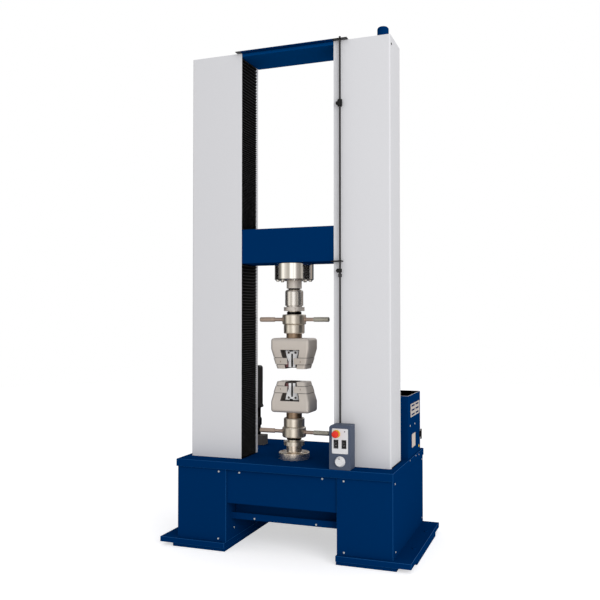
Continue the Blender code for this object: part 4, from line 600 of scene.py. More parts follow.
def grey_mark():
    """Grey marks moulded into the rocker keys, matt so that they read."""
    return moulded_plastic("grey_moulded_mark", linear("#8C8C8E"), 0.40, 0.0010, 0.00001)


def red_plastic():
    """Red moulded plastic of the stop button, smooth and glossy."""
    return moulded_plastic("red_moulded_plastic", colours().stop_red, 0.26, 0.0010, 0.00001)


def yellow_plastic():
    """Yellow moulded plastic of the ring behind the stop button, half glossy."""
    return moulded_plastic("yellow_moulded_plastic", colours().stop_yellow, 0.34, 0.0010, 0.00001)


def belt_rubber():
    """Toothed belt rubber with a fine rib across it."""
    return moulded_plastic("belt_rubber", linear("#19191B"), 0.62, 0.0020, 0.00005)


def aluminium():
    """Turned aluminium of the motor pulley: pale, with rings of soft highlights."""
    return cut_steel("turned_aluminium", linear("#D0D2D4"), 0.28, 0.0008, "Z", 0.00001)


def vent_sheet():
    """Pale warm grey painted vent sheet, nearly matt."""
    return powder_coat("pale_vent_paint", linear("#D2C9C0"), 0.0012, 0.00002, 0.45, 0.20)


def cream_plate():
    """Blank cream-coloured plate on the cabinet, nearly matt."""
    return powder_coat("cream_blank_plate", linear("#E4D5C8"), 0.0012, 0.00001, 0.45, 0.20)


def finish(maker):
    """The material of a maker function, made once."""
    kept = finish.made
    if maker not in kept:
        kept[maker] = maker()
    return kept[maker]


finish.made = {}


def refinish(maker, *nodes):
    """Gives CAD nodes that keep their shape a procedural finish."""
    for name in nodes:
        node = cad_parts[name]
        node.data.materials.clear()
        node.data.materials.append(finish(maker))


SIDES = (("left", -1), ("right", 1))


def mirrored(points, side):
    """Plan points for the right or the left side."""
    return [(x * side, y) for x, y in points]


def outward(side):
    """The direction away from the middle on the right or the left side."""
    return "X" if side > 0 else "-X"


def rounded_rim(radius, top, rounding):
    """Points of a quarter circle from the flat top of a turned piece out to its side."""
    return [(radius - rounding + rounding * math.sin(math.radians(angle)),
             top - rounding + rounding * math.cos(math.radians(angle))) for angle in range(0, 91, 10)]


def round_axis(count, turn, radius, height):
    """Places at equal angles round the load axis, the first one turned by some degrees."""
    angles = [math.radians(turn + 360.0 / count * step) for step in range(count)]
    return [AXIS + Vector((radius * math.cos(angle), radius * math.sin(angle), height)) for angle in angles]


class TESTINGMACHINE_OT_foot_frames(bpy.types.Operator):
    """Model the slab, the pads and the leg of both feet"""

    bl_idname = "testing_machine.foot_frames"
    bl_label = "Foot frames"

    def execute(self, context):
        pad_top, slab_top = 0.0160, 0.0397
        outer, step = 0.5836, 0.5212
        pad_outline = [(PEDESTAL_INNER, -0.32685), (step, -0.32685), (step, -0.21085), (outer, -0.21085),
                       (outer, 0.23915), (step, 0.23915), (step, 0.33985), (PEDESTAL_INNER, 0.33985)]
        for name, side in SIDES:
            low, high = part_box(f"{name}_foot_frame")
            edge = sizes().plate_edge
            piece = Piece(f"{name}_foot")
            # The slab's folds get the lighter blue, a painted highlight
            piece.add(mark_folds(box((low.x, low.y, pad_top), (high.x, high.y, slab_top), edge / 2)),
                      finish(blue_paint), finish(blue_fold_highlight))
            piece.add(drawn(mirrored(pad_outline, side), 0.0, pad_top, radius=edge / 3), finish(blue_paint))
            piece.add(box((0.4018 * side, -0.27395, slab_top), (0.4718 * side, 0.27605, high.z), edge),
                      finish(blue_paint))
            for along in (-0.120, 0.160):
                piece.add(screw(0.0090, 0.0040, (0.552 * side, along, slab_top)), finish(blue_paint))
            piece.ride("frame", "deep_blue_paint", f"{name}_foot_frame")
        return {"FINISHED"}


class TESTINGMACHINE_OT_base_panels(bpy.types.Operator):
    """Model the folded covers round the legs and the panels between them"""

    bl_idname = "testing_machine.base_panels"
    bl_label = "Base panels"

    def execute(self, context):
        fold = sizes().sheet_fold
        for name, side in SIDES:
            low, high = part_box(f"{name}_pedestal_cover")
            path = rectangle(low.x, low.y, high.x, high.y)
            inner = PEDESTAL_INNER * side
            window = ((inner - 0.010, -0.20800, 0.134), (inner + 0.010, 0.28985, 0.370))
            shape = folded(path, low.z, high.z, ((low.x + high.x) / 2, 0.0), radius=fold, closed=True,
                           window=window)
            piece = Piece(f"{name}_pedestal")
            # The cover's folds get the lighter blue, a painted highlight
            piece.add(mark_folds(shape), finish(blue_paint), finish(blue_fold_highlight))
            piece.ride("frame", "deep_blue_paint", f"{name}_pedestal_cover")
        low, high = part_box("front_apron")
        path = [(APRON_FRONT, high.z), (APRON_FRONT, low.z), (APRON_FRONT + 0.025, low.z)]
        apron = Piece("apron")
        apron.add(folded(path, low.x, high.x, (-0.250, 0.300), axis="X", radius=fold), finish(blue_paint))
        apron.ride("frame", "deep_blue_paint", "front_apron")
        low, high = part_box("belly_pan")
        lip, back = 0.030, low.y + 0.045
        path = [(low.y, low.z + lip), (low.y, low.z), (high.y, low.z)]
        pan = Piece("cross_pan")
        pan.add(box((low.x + 0.002, back, low.z + SHEET), (high.x - 0.002, low.y + 0.047, high.z + 0.100),
                    0.0005, 1), finish(blue_paint))
        pan.add(folded(path, low.x, high.x, (-0.100, 0.190), axis="X", radius=fold), finish(blue_paint))
        pan.ride("frame", "deep_blue_paint", "belly_pan")
        low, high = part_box("rear_panel")
        rear = Piece("rear_sheet")
        rear.add(box(low, high, 0.0008), finish(blue_paint))
        for x in (-0.230, 0.0, 0.230):
            for z in (0.080, 0.345):
                rear.add(screw(sizes().screw_head, 0.0025, (x, high.y, z), "Y"), finish(zinc_steel))
        rear.ride("frame", "deep_blue_paint", "rear_panel")
        return {"FINISHED"}


class TESTINGMACHINE_OT_table(bpy.types.Operator):
    """Model the table plate with its bearing bosses and bores"""

    bl_idname = "testing_machine.table"
    bl_label = "Table"

    def execute(self, context):
        bottom = 0.3646
        bores = [circle(side * SCREW_X, LOAD_Y, SCREW_BORE, STEPS) for _, side in SIDES]
        bores.append(circle(ROD_X, ROD_Y, ROD_BORE))
        outline = rectangle(TABLE_LOW.x, TABLE_LOW.y, TABLE_HIGH.x, TABLE_HIGH.y)
        piece = Piece("table")
        plate = drawn(outline, bottom, TABLE_HIGH.z, radius=sizes().plate_edge, segments=3, holes=bores)
        # The plate's folds get the lighter blue, a painted highlight
        piece.add(mark_folds(plate), finish(blue_paint), finish(blue_fold_highlight))
        for _, side in SIDES:
            profile = [(SCREW_BORE, bottom + 0.001), (BOSS_RADIUS, bottom + 0.001), (BOSS_RADIUS, TABLE_LOW.z),
                       (SCREW_BORE, TABLE_LOW.z)]
            piece.add(turned(profile, (side * SCREW_X, LOAD_Y, 0.0), edge=0.001), finish(blue_paint))
        piece.ride("frame", "deep_blue_paint", "table_plate")
        return {"FINISHED"}


class TESTINGMACHINE_OT_drive(bpy.types.Operator):
    """Finish the motor, the belt, the tray, the screws and the guide columns behind the panels"""

    bl_idname = "testing_machine.drive"
    bl_label = "Drive"

    def execute(self, context):
        refinish(zinc_steel, "motor_tray")
        refinish(black_paint, "drive_motor")
        refinish(belt_rubber, "drive_belt")
        refinish(aluminium, "motor_pulley")
        refinish(nickel_steel, "left_ball_screw", "right_ball_screw", "left_guide_column", "right_guide_column",
                 "left_ball_nut", "right_ball_nut")
        return {"FINISHED"}


class TESTINGMACHINE_OT_column_covers(bpy.types.Operator):
    """Model the tall folded covers of both columns with their caps, and a black strip at their feet that paints their
    contact shadow
    """

    bl_idname = "testing_machine.column_covers"
    bl_label = "Column covers"

    def execute(self, context):
        low, high = COVER_LOW, COVER_HIGH
        rear_return = 0.0345
        path = [(low.x, low.y), (high.x, low.y), (high.x, high.y), (low.x, high.y), (low.x, high.y - rear_return)]
        for name, side in SIDES:
            piece = Piece(f"{name}_cover")
            middle = (side * (low.x + high.x) / 2, LOAD_Y)
            piece.add(folded(mirrored(path, side), low.z, high.z, middle, radius=sizes().cover_fold),
                      finish(grey_paint))
            piece.add(box((side * (low.x + 0.001), low.y + 0.001, high.z - SHEET),
                          (side * (high.x - 0.001), high.y - 0.001, high.z - 0.0005), 0.0006), finish(grey_paint))
            piece.add(screw(0.0050, 0.0020, (side * high.x, low.y + 0.022, 2.232), outward(side)),
                      finish(dark_steel))
            # A black strip round the foot of the cover that stands out past its side: painted contact shadow between
            # the cover and the table
            foot_shadow_strip = box((side * (low.x + 0.010), low.y + 0.010, low.z),
                         (side * (high.x + 0.0014), high.y, low.z + 0.0045), 0.0005, 1)
            piece.add(foot_shadow_strip, finish(bellows_cloth))
            for z in (0.500, 1.000, 1.500, 2.000):
                for x in (0.245, 0.455):
                    piece.add(screw(0.0045, 0.0020, (side * x, high.y, z), "Y"), finish(zinc_steel))
            piece.ride("frame", "light_grey_paint", f"{name}_column_cover")
        return {"FINISHED"}


class TESTINGMACHINE_OT_top(bpy.types.Operator):
    """Model the yoke, the dark plate on it and the round boss"""

    bl_idname = "testing_machine.top"
    bl_label = "Yoke and top plate"

    def execute(self, context):
        low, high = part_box("top_yoke")
        edge = sizes().plate_edge
        yoke = Piece("yoke")
        inner, under = 0.22185, 2.2530
        yoke.add(box((low.x, -0.22735, under + 0.0001), (high.x, -0.05155, 2.2663), edge / 2), finish(yoke_paint))
        yoke.add(box((-inner, COVER_LOW.y, under), (inner, COVER_HIGH.y, high.z), edge), finish(yoke_paint))
        for _, side in SIDES:
            profile = [(SCREW_BORE, under + 0.001), (BOSS_RADIUS, under + 0.001), (BOSS_RADIUS, low.z),
                       (SCREW_BORE, low.z)]
            yoke.add(turned(profile, (side * SCREW_X, LOAD_Y, 0.0), edge=0.001), finish(blue_paint))
        yoke.ride("frame", "deep_blue_paint", "top_yoke")
        low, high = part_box("top_plate")
        top, border, break_edge = low.z + 0.003, 0.2218, 0.0008
        plate = Piece("top_sheet")
        plate.add(drawn(rectangle(-0.2217, low.y, 0.2217, high.y), low.z, top, radius=break_edge),
                  finish(blue_paint))
        plate.add(box((low.x, low.y, low.z), (-border, high.y, top), break_edge), finish(black_paint))
        plate.add(drawn(rectangle(border, low.y, high.x, high.y), low.z, top, radius=break_edge,
                        holes=[circle(ROD_X, ROD_Y, ROD_BORE)]), finish(black_paint))
        for x in (-0.180, 0.180):
            for y in (-0.200, -0.070):
                plate.add(screw(0.0065, 0.0025, (x, y, top)), finish(dark_steel))
        plate.ride("frame", "black_paint", "top_plate")
        low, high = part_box("top_boss")
        middle = (low + high) / 2
        radius = (high.x - low.x) / 2
        profile = [(0.0, high.z), *rounded_rim(radius, high.z, 0.011), (radius, low.z), (0.0, low.z)]
        boss = Piece("boss")
        boss.add(turned(profile, (middle.x, middle.y, 0.0)), finish(blue_paint))
        boss.ride("frame", "deep_blue_paint", "top_boss")
        return {"FINISHED"}


class TESTINGMACHINE_OT_bellows(bpy.types.Operator):
    """Model the pleated bellows in the slots of the column covers"""

    bl_idname = "testing_machine.bellows"
    bl_label = "Bellows"

    def pleats(self, name, side, low, high):
        """One strip between two heights. Its weight draws the folds together towards its foot, and its rear
        stands proud of the slot, as the strip sags off its frame there."""
        crest, valley, back = 0.22260, 0.22980, 0.23965
        front, rear, lean = -0.22785, -0.07100, 0.0075
        first, last = sizes().pleat_pitch, sizes().pleat_pitch_low
        count = round((high - low) * math.log(first / last) / (first - last))
        pitches = [(last / first) ** (step / (count - 1)) for step in range(count)]
        share = (high - low) / sum(pitches)
        outline = [(back * side, high), (valley * side, high)]
        height = high
        for pitch in pitches:
            outline.append((crest * side, height - pitch * share / 2))
            height -= pitch * share
            outline.append((valley * side, height))
        outline.append((back * side, height))
        shape = drawn(outline, front, rear, "Y")
        folds = [edge for edge in sharp_edges(shape, 30.0) if abs(edge.verts[0].co.z - edge.verts[1].co.z) < 0.0001
                 and abs(edge.verts[0].co.y - edge.verts[1].co.y) > 0.1 and abs(edge.verts[0].co.x) < back - 0.001]
        round_edges(shape, folds, 0.0008, 2)
        # The crest faces get material 1, the paler grey that paints a highlight along each fold
        for face in shape.faces:
            face.material_index = int(abs(abs(face.calc_center_median().x) - crest) < 0.0006)
        for vert in shape.verts:
            if vert.co.y > (front + rear) / 2 and abs(vert.co.x) < back - 0.001:
                vert.co.x -= math.copysign(lean, side)
        piece = Piece(name)
        piece.add(shape, finish(bellows_cloth), finish(pleat_crest_highlight))
        return piece.mesh(30.0)

    def execute(self, context):
        # The upper strips hang from 2.2528 to 1.4515 at rest and the lower ones from 1.2943 to 0.3989
        for name, side in SIDES:
            upper = self.pleats(f"{name}_upper_pleats", side, 1.4515, 2.2528)
            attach(upper, "frame")
            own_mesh(upper)
            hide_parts(f"upper_{name}_bellows")
            lower = self.pleats(f"{name}_lower_pleats", side, 0.3989, 1.2943)
            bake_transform(lower)
            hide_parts(f"lower_{name}_bellows")
            edges = Piece(f"{name}_bellows_clamps")
            edges.add(box((side * 0.2300, -0.2270, 1.4514), (side * 0.2390, -0.0520, 1.4900), 0.0008),
                      finish(bellows_cloth))
            edges.ride("crosshead", "black_bellows_cloth")
            foot = Piece(f"{name}_bellows_foot")
            foot.add(box((side * 0.2158, -0.2275, 0.3989), (side * 0.2300, -0.0712, 0.4020), 0.0008),
                     finish(dark_steel))
            foot.ride("frame", "dark_steel")
        return {"FINISHED"}


class TESTINGMACHINE_OT_crosshead(bpy.types.Operator):
    """Model the crosshead beam with its bores"""

    bl_idname = "testing_machine.crosshead"
    bl_label = "Crosshead"

    def execute(self, context):
        low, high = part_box("crosshead")
        bores = []
        for _, side in SIDES:
            bores.append(circle(side * SCREW_X, LOAD_Y, 0.0353, STEPS))
            bores.append(circle(side * GUIDE_X, LOAD_Y, 0.0255, STEPS))
        piece = Piece("crosshead_beam")
        piece.add(drawn(rectangle(low.x, low.y, high.x, high.y), low.z, high.z, radius=sizes().plate_edge,
                        segments=3, holes=bores), finish(blue_paint))
        piece.ride("crosshead", "deep_blue_paint", "crosshead")
        return {"FINISHED"}


class TESTINGMACHINE_OT_load_cell(bpy.types.Operator):
    """Model the load cell, its bolts and the stud below it"""

    bl_idname = "testing_machine.load_cell"
    bl_label = "Load cell"

    def execute(self, context):
        bottom, top, radius = 1.2172, CELL_HIGH.z, 0.0900
        profile = [(0.0, top), (radius - 0.002, top), (radius, top - 0.002), (radius, bottom + 0.004),
                   (radius - 0.004, bottom), (0.0640, bottom), (0.0640, bottom + 0.008), (0.0440, bottom + 0.008),
                   (0.0440, bottom), (0.0, bottom)]
        cell = Piece("load_cell_disc")
        cell.add(turned(profile, AXIS, steps=STRING_STEPS, edge=sizes().machined_edge), finish(nickel_steel))
        for place in round_axis(8, 22.5, 0.075, bottom):
            cell.add(screw(0.0075, 0.0060, place, "-Z"), finish(nickel_steel))
        cell.ride("crosshead", "nickel_plated_steel", "load_cell")
        low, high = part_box("load_cell_stud")
        step = 1.1798
        stud = Piece("load_cell_neck")
        stud.add(turned([(0.0, high.z), (0.0350, high.z), (0.0350, step), (0.0, step)], AXIS, edge=0.0008),
                 finish(blasted_grip))
        stud.add(turned([(0.0, step), (0.0270, step), (0.0270, low.z), (0.0, low.z)], AXIS), finish(dark_steel))
        stud.ride("crosshead", "nickel_plated_steel", "load_cell_stud")
        return {"FINISHED"}


def sink_holes(shape, angles, height, radius, depth, rim):
    """Sinks round spanner holes into the rim of a turned ring that stands on the load axis."""
    for angle in angles:
        outwards = Vector((math.cos(angle), math.sin(angle), 0.0))
        centre = AXIS + outwards * rim + Vector((0.0, 0.0, height))
        near = [face for face in shape.faces if (face.calc_center_median() - centre).length < radius * 1.2
                and face.normal.dot(outwards) > 0.9]
        if not near:
            raise RuntimeError("no face for a spanner hole")
        bmesh.ops.inset_region(shape, faces=near, thickness=radius * 0.15, use_even_offset=True)
        border = {vert for face in near for vert in face.verts}
        across = outwards.cross(Vector((0.0, 0.0, 1.0)))
        rounded = [vert for vert in border if any(face not in near for face in vert.link_faces)]
        for vert in rounded:
            offset = vert.co - centre
            flat = Vector((offset.dot(across), offset.z))
            if flat.length > 0.000001:
                flat = flat.normalized() * radius
                vert.co = centre + across * flat.x + Vector((0.0, 0.0, flat.y)) + outwards * offset.dot(outwards)
        edges = {edge for face in near for edge in face.edges}
        sunk = bmesh.ops.extrude_face_region(shape, geom=[*near, *edges])
        bmesh.ops.translate(shape, vec=-outwards * depth, verts=new_verts(sunk))
    return shape


class TESTINGMACHINE_OT_couplings(bpy.types.Operator):
    """Model the sleeve, the ring nuts, both stems and the lower flange"""

    bl_idname = "testing_machine.couplings"
    bl_label = "Sleeve, nuts, stems and flange"

    def ring_nut(self, name, body, finish_of):
        """A lock nut with six spanner holes in its rim."""
        low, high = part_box(name)
        middle = (low.z + high.z) / 2
        rim = 0.0478
        profile = [(0.0303, high.z), (rim, high.z), (rim, middle + 0.003), (rim, middle), (rim, middle - 0.003),
                   (rim, low.z), (0.0303, low.z)]
        shape = turned(profile, AXIS, steps=STRING_STEPS)
        sink_holes(shape, [math.radians(angle) for angle in range(-63, 290, 60)], middle, 0.0030, 0.006, rim)
        round_edges(shape, sharp_edges(shape, 60.0), sizes().machined_edge)
        piece = Piece(name.replace("ring_nut", "lock_ring"))
        piece.add(shape, finish(finish_of))
        piece.ride(body, "nickel_plated_steel", name)

    def stem(self, name, up, body):
        """The stem with its shoulder, its running part and its seal ring."""
        low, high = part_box(name)
        edge = 0.004
        if up > 0:
            base, shoulder, run, seal, seal_end = 0.9518, 0.9718, 1.0133, 1.0604, 1.0719
            end = [(0.0300, 1.0942), (0.0270, 1.0942), (0.0270, high.z), (0.0, high.z)]
        else:
            base, shoulder, run, seal, seal_end = 0.6122, 0.5857, 0.5442, 0.4971, 0.4856
            end = [(0.0300, low.z), (0.0, low.z)]
        piece = Piece(name.replace("stem", "spindle"))
        piece.add(turned([(0.0, base), (0.0360, base), (0.0360, shoulder + up * 0.001), (0.0, shoulder + up * 0.001)],
                         AXIS), finish(oxide_steel))
        profile = [(0.0, shoulder), (0.0480 - edge, shoulder), (0.0480, shoulder + up * edge),
                   (0.0480, run - up * edge / 2), (0.0460, run), (0.0300, run), (0.0300, seal_end)] + end
        piece.add(turned(profile, AXIS, steps=STRING_STEPS, edge=sizes().machined_edge), finish(brushed_collar))
        ring = [(0.0302, seal_end), (0.0330, seal_end), (0.0340, seal_end - up * 0.003),
                (0.0340, seal + up * 0.003), (0.0330, seal), (0.0302, seal)]
        piece.add(turned(ring, AXIS, edge=0.0004), finish(dark_steel))
        piece.ride(body, "nickel_plated_steel", name)

    def execute(self, context):
        low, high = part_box("coupling_sleeve")
        radius, bore, neck, step = 0.0418, 0.0273, 0.0360, 1.1001
        profile = [(bore, high.z), *rounded_rim(radius, high.z, 0.012), (radius, step), (neck, step), (neck, low.z),
                   (bore, low.z)]
        sleeve = Piece("sleeve")
        sleeve.add(turned(profile, AXIS, steps=STRING_STEPS, edge=sizes().machined_edge), finish(satin_steel))
        sleeve.ride("crosshead", "nickel_plated_steel", "coupling_sleeve")
        self.ring_nut("upper_ring_nut", "crosshead", blasted_grip)
        self.ring_nut("lower_ring_nut", "frame", brushed_collar)
        self.stem("upper_stem", 1, "crosshead")
        self.stem("lower_stem", -1, "frame")
        low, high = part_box("lower_flange")
        top = 0.4290
        flange = Piece("flange")
        profile = [(0.0, high.z), (0.0360, high.z), (0.0360, top + 0.003), (0.0390, top), (0.0700, top),
                   (0.0720, top - 0.002), (0.0720, low.z), (0.0, low.z)]
        flange.add(turned(profile, AXIS, steps=STRING_STEPS, edge=sizes().machined_edge), finish(flange_steel))
        for place in round_axis(4, 0.0, 0.055, top):
            flange.add(screw(0.0068, 0.0015, place, share=0.62), finish(oxide_steel))
        flange.ride("frame", "nickel_plated_steel", "lower_flange")
        return {"FINISHED"}


class TESTINGMACHINE_OT_collars(bpy.types.Operator):
    """Model both turning collars with their tommy bars"""

    bl_idname = "testing_machine.collars"
    bl_label = "Collars and tommy bars"

    def bar(self, side, height):
        """One bar: a bright rod with a collar at its root, and a ridged grip with a domed end."""
        rod, grip, start, reach = 0.0085, 0.0110, 0.0963, 0.1700
        middle = AXIS + Vector((0.0, 0.0, height))
        rod_shape = turned([(0.0, 0.0440), (rod, 0.0440), (rod, start + 0.002), (0.0, start + 0.002)],
                           middle, outward(side), SMALL_STEPS)
        profile = [(0.0, start), (grip - 0.001, start), (grip, start + 0.001)]
        pitch = sizes().bar_ridge
        along = start + 0.004
        while along < reach - 0.010:
            profile += [(grip, along), (grip - 0.0005, along + pitch * 0.25), (grip - 0.0005, along + pitch * 0.5),
                        (grip, along + pitch * 0.75)]
            along += pitch
        profile += [(grip, reach - 0.006)]
        profile += [((grip - 0.005) + 0.005 * math.cos(math.radians(angle)),
                     reach - 0.005 + 0.005 * math.sin(math.radians(angle))) for angle in range(10, 91, 20)]
        profile.append((0.0, reach))
        grip_shape = turned(profile, middle, outward(side), SMALL_STEPS)
        root = [(0.0105, 0.0520), (0.0115, 0.0530), (0.0115, 0.0570), (0.0105, 0.0580), (0.0084, 0.0580),
                (0.0084, 0.0520)]
        return rod_shape, grip_shape, turned(root, middle, outward(side), SMALL_STEPS)

    def execute(self, context):
        bore, rim, edge = 0.0305, 0.0545, 0.004
        for name, low_z, high_z in (("upper_collar", 1.0136, 1.0601), ("lower_collar", 0.4974, 0.5439)):
            profile = [(bore, high_z), (rim - edge, high_z), (rim, high_z - edge), (rim, low_z + edge),
                       (rim - edge, low_z), (bore, low_z)]
            piece = Piece(f"{name}_with_bars")
            piece.add(turned(profile, AXIS, steps=STRING_STEPS, edge=sizes().machined_edge), finish(brushed_collar))
            for side in (-1, 1):
                rod_shape, grip_shape, root = self.bar(side, (low_z + high_z) / 2)
                piece.add(rod_shape, finish(bar_steel))
                piece.add(grip_shape, finish(grey_grip if side > 0 else tan_grip))
                piece.add(root, finish(bar_steel))
            piece.ride(name, "nickel_plated_steel", name)
        return {"FINISHED"}


# Grips: name, height of the mouth, direction of the body from there, and what it rides on
GRIPS = (("upper", 0.8115, 1, "crosshead"), ("lower", 0.7525, -1, "frame"))
MOUTH_HALF = Vector((0.0712, 0.0435))
SHOULDER_HALF = Vector((0.0945, 0.0605))
SHOULDER_HEIGHT = 0.0900
GRIP_HEIGHT = 0.1400
POCKET_TOP = 0.0865
POCKET_TOP_HALF = 0.0465
POCKET_BACK = 0.0350
WEDGE_SLOPE = math.tan(math.radians(13.0))
JAW_LOW, JAW_HIGH, JAW_GAP = 0.0070, 0.0835, 0.0042


def grip_half(height):
    """Half width and half depth of a grip body at a height above its mouth."""
    return MOUTH_HALF.lerp(SHOULDER_HALF, min(1.0, height / SHOULDER_HEIGHT))


def pocket_half(height):
    """Half width of the wedge pocket at a height above the mouth."""
    return POCKET_TOP_HALF - (POCKET_TOP - height) * WEDGE_SLOPE


def to_grip(shape, mouth, up):
    """Moves a shape drawn above the mouth at the origin to its grip, and turns it over for the lower one."""
    bmesh.ops.scale(shape, vec=(1.0, 1.0, up), verts=shape.verts)
    if up < 0:
        bmesh.ops.reverse_faces(shape, faces=shape.faces)
    bmesh.ops.translate(shape, vec=(0.0, LOAD_Y, mouth), verts=shape.verts)
    return shape


class TESTINGMACHINE_OT_grip_bodies(bpy.types.Operator):
    """Model the tapered grip bodies with their wedge pockets"""

    bl_idname = "testing_machine.grip_bodies"
    bl_label = "Grip bodies"

    def body(self):
        """The forked block: the front outline round the pocket, drawn to the front and to the back."""
        shape = bmesh.new()

        def point(x, height):
            return shape.verts.new((x, POCKET_BACK, height))

        mouth, shoulder = MOUTH_HALF.x, SHOULDER_HALF.x
        outer_low = [point(-mouth, 0.0), point(mouth, 0.0)]
        outer_mid = [point(-shoulder, SHOULDER_HEIGHT), point(shoulder, SHOULDER_HEIGHT)]
        outer_top = [point(-shoulder, GRIP_HEIGHT), point(shoulder, GRIP_HEIGHT)]
        slot_low = [point(-pocket_half(0.0), 0.0), point(pocket_half(0.0), 0.0)]
        slot_top = [point(-pocket_half(POCKET_TOP), POCKET_TOP), point(pocket_half(POCKET_TOP), POCKET_TOP)]
        fork = shape.faces.new([outer_low[0], slot_low[0], slot_top[0], slot_top[1], slot_low[1], outer_low[1],
                                outer_mid[1], outer_mid[0]])
        crown = shape.faces.new([outer_mid[0], outer_mid[1], outer_top[1], outer_top[0]])
        floor = shape.faces.new([slot_low[0], slot_low[1], slot_top[1], slot_top[0]])
        grown = bmesh.ops.extrude_face_region(shape, geom=[fork, crown, floor])
        for vert in new_verts(grown):
            vert.co.y = grip_half(vert.co.z).y
        grown = bmesh.ops.extrude_face_region(shape, geom=[fork, crown])
        for vert in new_verts(grown):
            vert.co.y = -grip_half(vert.co.z).y
        bmesh.ops.delete(shape, geom=[face for face in (fork, crown) if face.is_valid], context="FACES_ONLY")
        bmesh.ops.dissolve_limit(shape, angle_limit=0.001, verts=shape.verts, edges=shape.edges)
        bmesh.ops.recalc_face_normals(shape, faces=shape.faces)
        return shape

    def channel(self, shape):
        """Sinks the strap's channel into the outside of the block, and marks it and the pocket with material 1, dark
        steel that paints their shade.
        """
        low, high, deep, rim = 0.0183, 0.0517, 0.0030, 0.0018
        planes = [((0.0, 0.0, low), (0.0, 0.0, 1.0)), ((0.0, 0.0, high), (0.0, 0.0, 1.0))]
        planes += [((side * (pocket_half(0.0) + rim), 0.0, 0.0), (1.0, 0.0, -side * WEDGE_SLOPE))
                   for side in (-1, 1)]
        for place, normal in planes:
            bmesh.ops.bisect_plane(shape, geom=[*shape.verts, *shape.edges, *shape.faces], dist=0.000001,
                                   plane_co=place, plane_no=Vector(normal).normalized())
        skin = sizes().grip_rounding + 0.0005
        slack = 0.0004
        band = []
        for face in shape.faces:
            middle = face.calc_center_median()
            half = grip_half(middle.z)
            cheek = abs(middle.x) > pocket_half(middle.z) + rim
            if low < middle.z < high and (abs(middle.x) > half.x - skin or middle.y > half.y - skin
                                          or (cheek and middle.y < skin - half.y)):
                band.append(face)
            # The pocket's faces get material 1, dark steel as painted shade
            face.material_index = int(abs(middle.x) < pocket_half(middle.z) + slack
                                      and middle.z < POCKET_TOP + slack
                                      and 0.0020 - half.y < middle.y < POCKET_BACK + slack)
        edges = {edge for face in band for edge in face.edges}
        sunk = bmesh.ops.extrude_face_region(shape, geom=[*band, *edges])
        # The channel's faces get material 1 too, a painted shadow line round the strap
        for vert in new_verts(sunk):
            half = grip_half(vert.co.z)
            vert.co.y *= 1 - deep / half.y
            if abs(vert.co.x) > 0.050:
                vert.co.x *= 1 - deep / half.x
            for face in vert.link_faces:
                face.material_index = 1
        return shape

    def execute(self, context):
        for name, mouth, up, rides in GRIPS:
            shape = self.body()
            top = [edge for edge in sharp_edges(shape) if all(vert.co.z > GRIP_HEIGHT - 0.0001
                                                              for vert in edge.verts)]
            upright = [edge for edge in sharp_edges(shape) if all(abs(vert.co.x) > 0.050 and abs(vert.co.y) > 0.040
                                                                  for vert in edge.verts) and edge not in top
                       and abs(edge.verts[0].co.z - edge.verts[1].co.z) > 0.01]
            round_edges(shape, top + upright, sizes().grip_rounding, 6)
            round_edges(shape, sharp_edges(shape, 30.0), 0.0012, 2)
            piece = Piece(f"{name}_grip")
            piece.add(to_grip(self.channel(shape), mouth, up), finish(blasted_grip), finish(pocket_painted_shade))
            piece.ride(rides, "nickel_plated_steel", f"{name}_grip_body", smooth=50.0)
        return {"FINISHED"}


class TESTINGMACHINE_OT_jaws(bpy.types.Operator):
    """Model the four wedge jaws with their screw holes and serrated faces"""

    bl_idname = "testing_machine.jaws"
    bl_label = "Wedge jaws"

    def backing(self, side):
        """The wedge that slides along the pocket's wall, in the dark steel that paints the pocket's shade."""
        slack = 0.0004
        outline = [(pocket_half(JAW_LOW) - slack, JAW_LOW), (pocket_half(JAW_HIGH) - slack, JAW_HIGH),
                   (JAW_GAP, JAW_HIGH), (JAW_GAP, JAW_LOW)]
        return drawn(mirrored(outline, side), -0.0260, 0.0347, "Y", 0.0004, 1)

    def face(self, side):
        """The bright jaw plate: narrow at the mouth, wide at the top, with a hole and teeth along the slit."""
        pitch, tooth = 0.0030, 0.0005
        outline = [(0.0165, JAW_LOW), (0.0165, 0.0330), (0.0250, 0.0500), (0.0325, JAW_HIGH), (JAW_GAP, JAW_HIGH)]
        height = 0.0680
        while height > JAW_LOW + 0.003:
            outline += [(JAW_GAP, height), (JAW_GAP + tooth, height - pitch / 2)]
            height -= pitch
        outline += [(JAW_GAP, JAW_LOW)]
        hole = mirrored(circle(0.0165, 0.0735, 0.0056, 24), side)
        return drawn(mirrored(outline, side), -0.0290, -0.0259, "Y", 0.0004, 1, holes=[hole])

    def execute(self, context):
        for name, mouth, up, rides in GRIPS:
            for hand, side in SIDES:
                piece = Piece(f"{name}_{hand}_wedge")
                piece.add(to_grip(self.backing(side), mouth, up), finish(pocket_painted_shade))
                piece.add(to_grip(self.face(side), mouth, up), finish(jaw_steel))
                if side < 0:
                    bridge = box((-0.0085, -0.0318, 0.0690), (0.0090, -0.0300, 0.0790), 0.0004, 1)
                    piece.add(to_grip(bridge, mouth, up), finish(jaw_steel))
                    pin = turned([(0.0, 0.0), (0.0045, 0.0), (0.0050, -0.0005), (0.0050, -0.0050), (0.0, -0.0050)],
                                 (-0.0045, -0.0345, 0.0825), "-Y", 24)
                    piece.add(to_grip(pin, mouth, up), finish(dark_steel))
                    liner = box((-0.0266, -0.0405, 0.0075), (-0.0172, -0.0262, 0.0300), 0.0006, 1)
                    piece.add(to_grip(liner, mouth, up), finish(maroon_liner))
                piece.ride(f"{name}_{hand}_jaw", "ground_steel", f"{name}_{hand}_jaw")
        return {"FINISHED"}


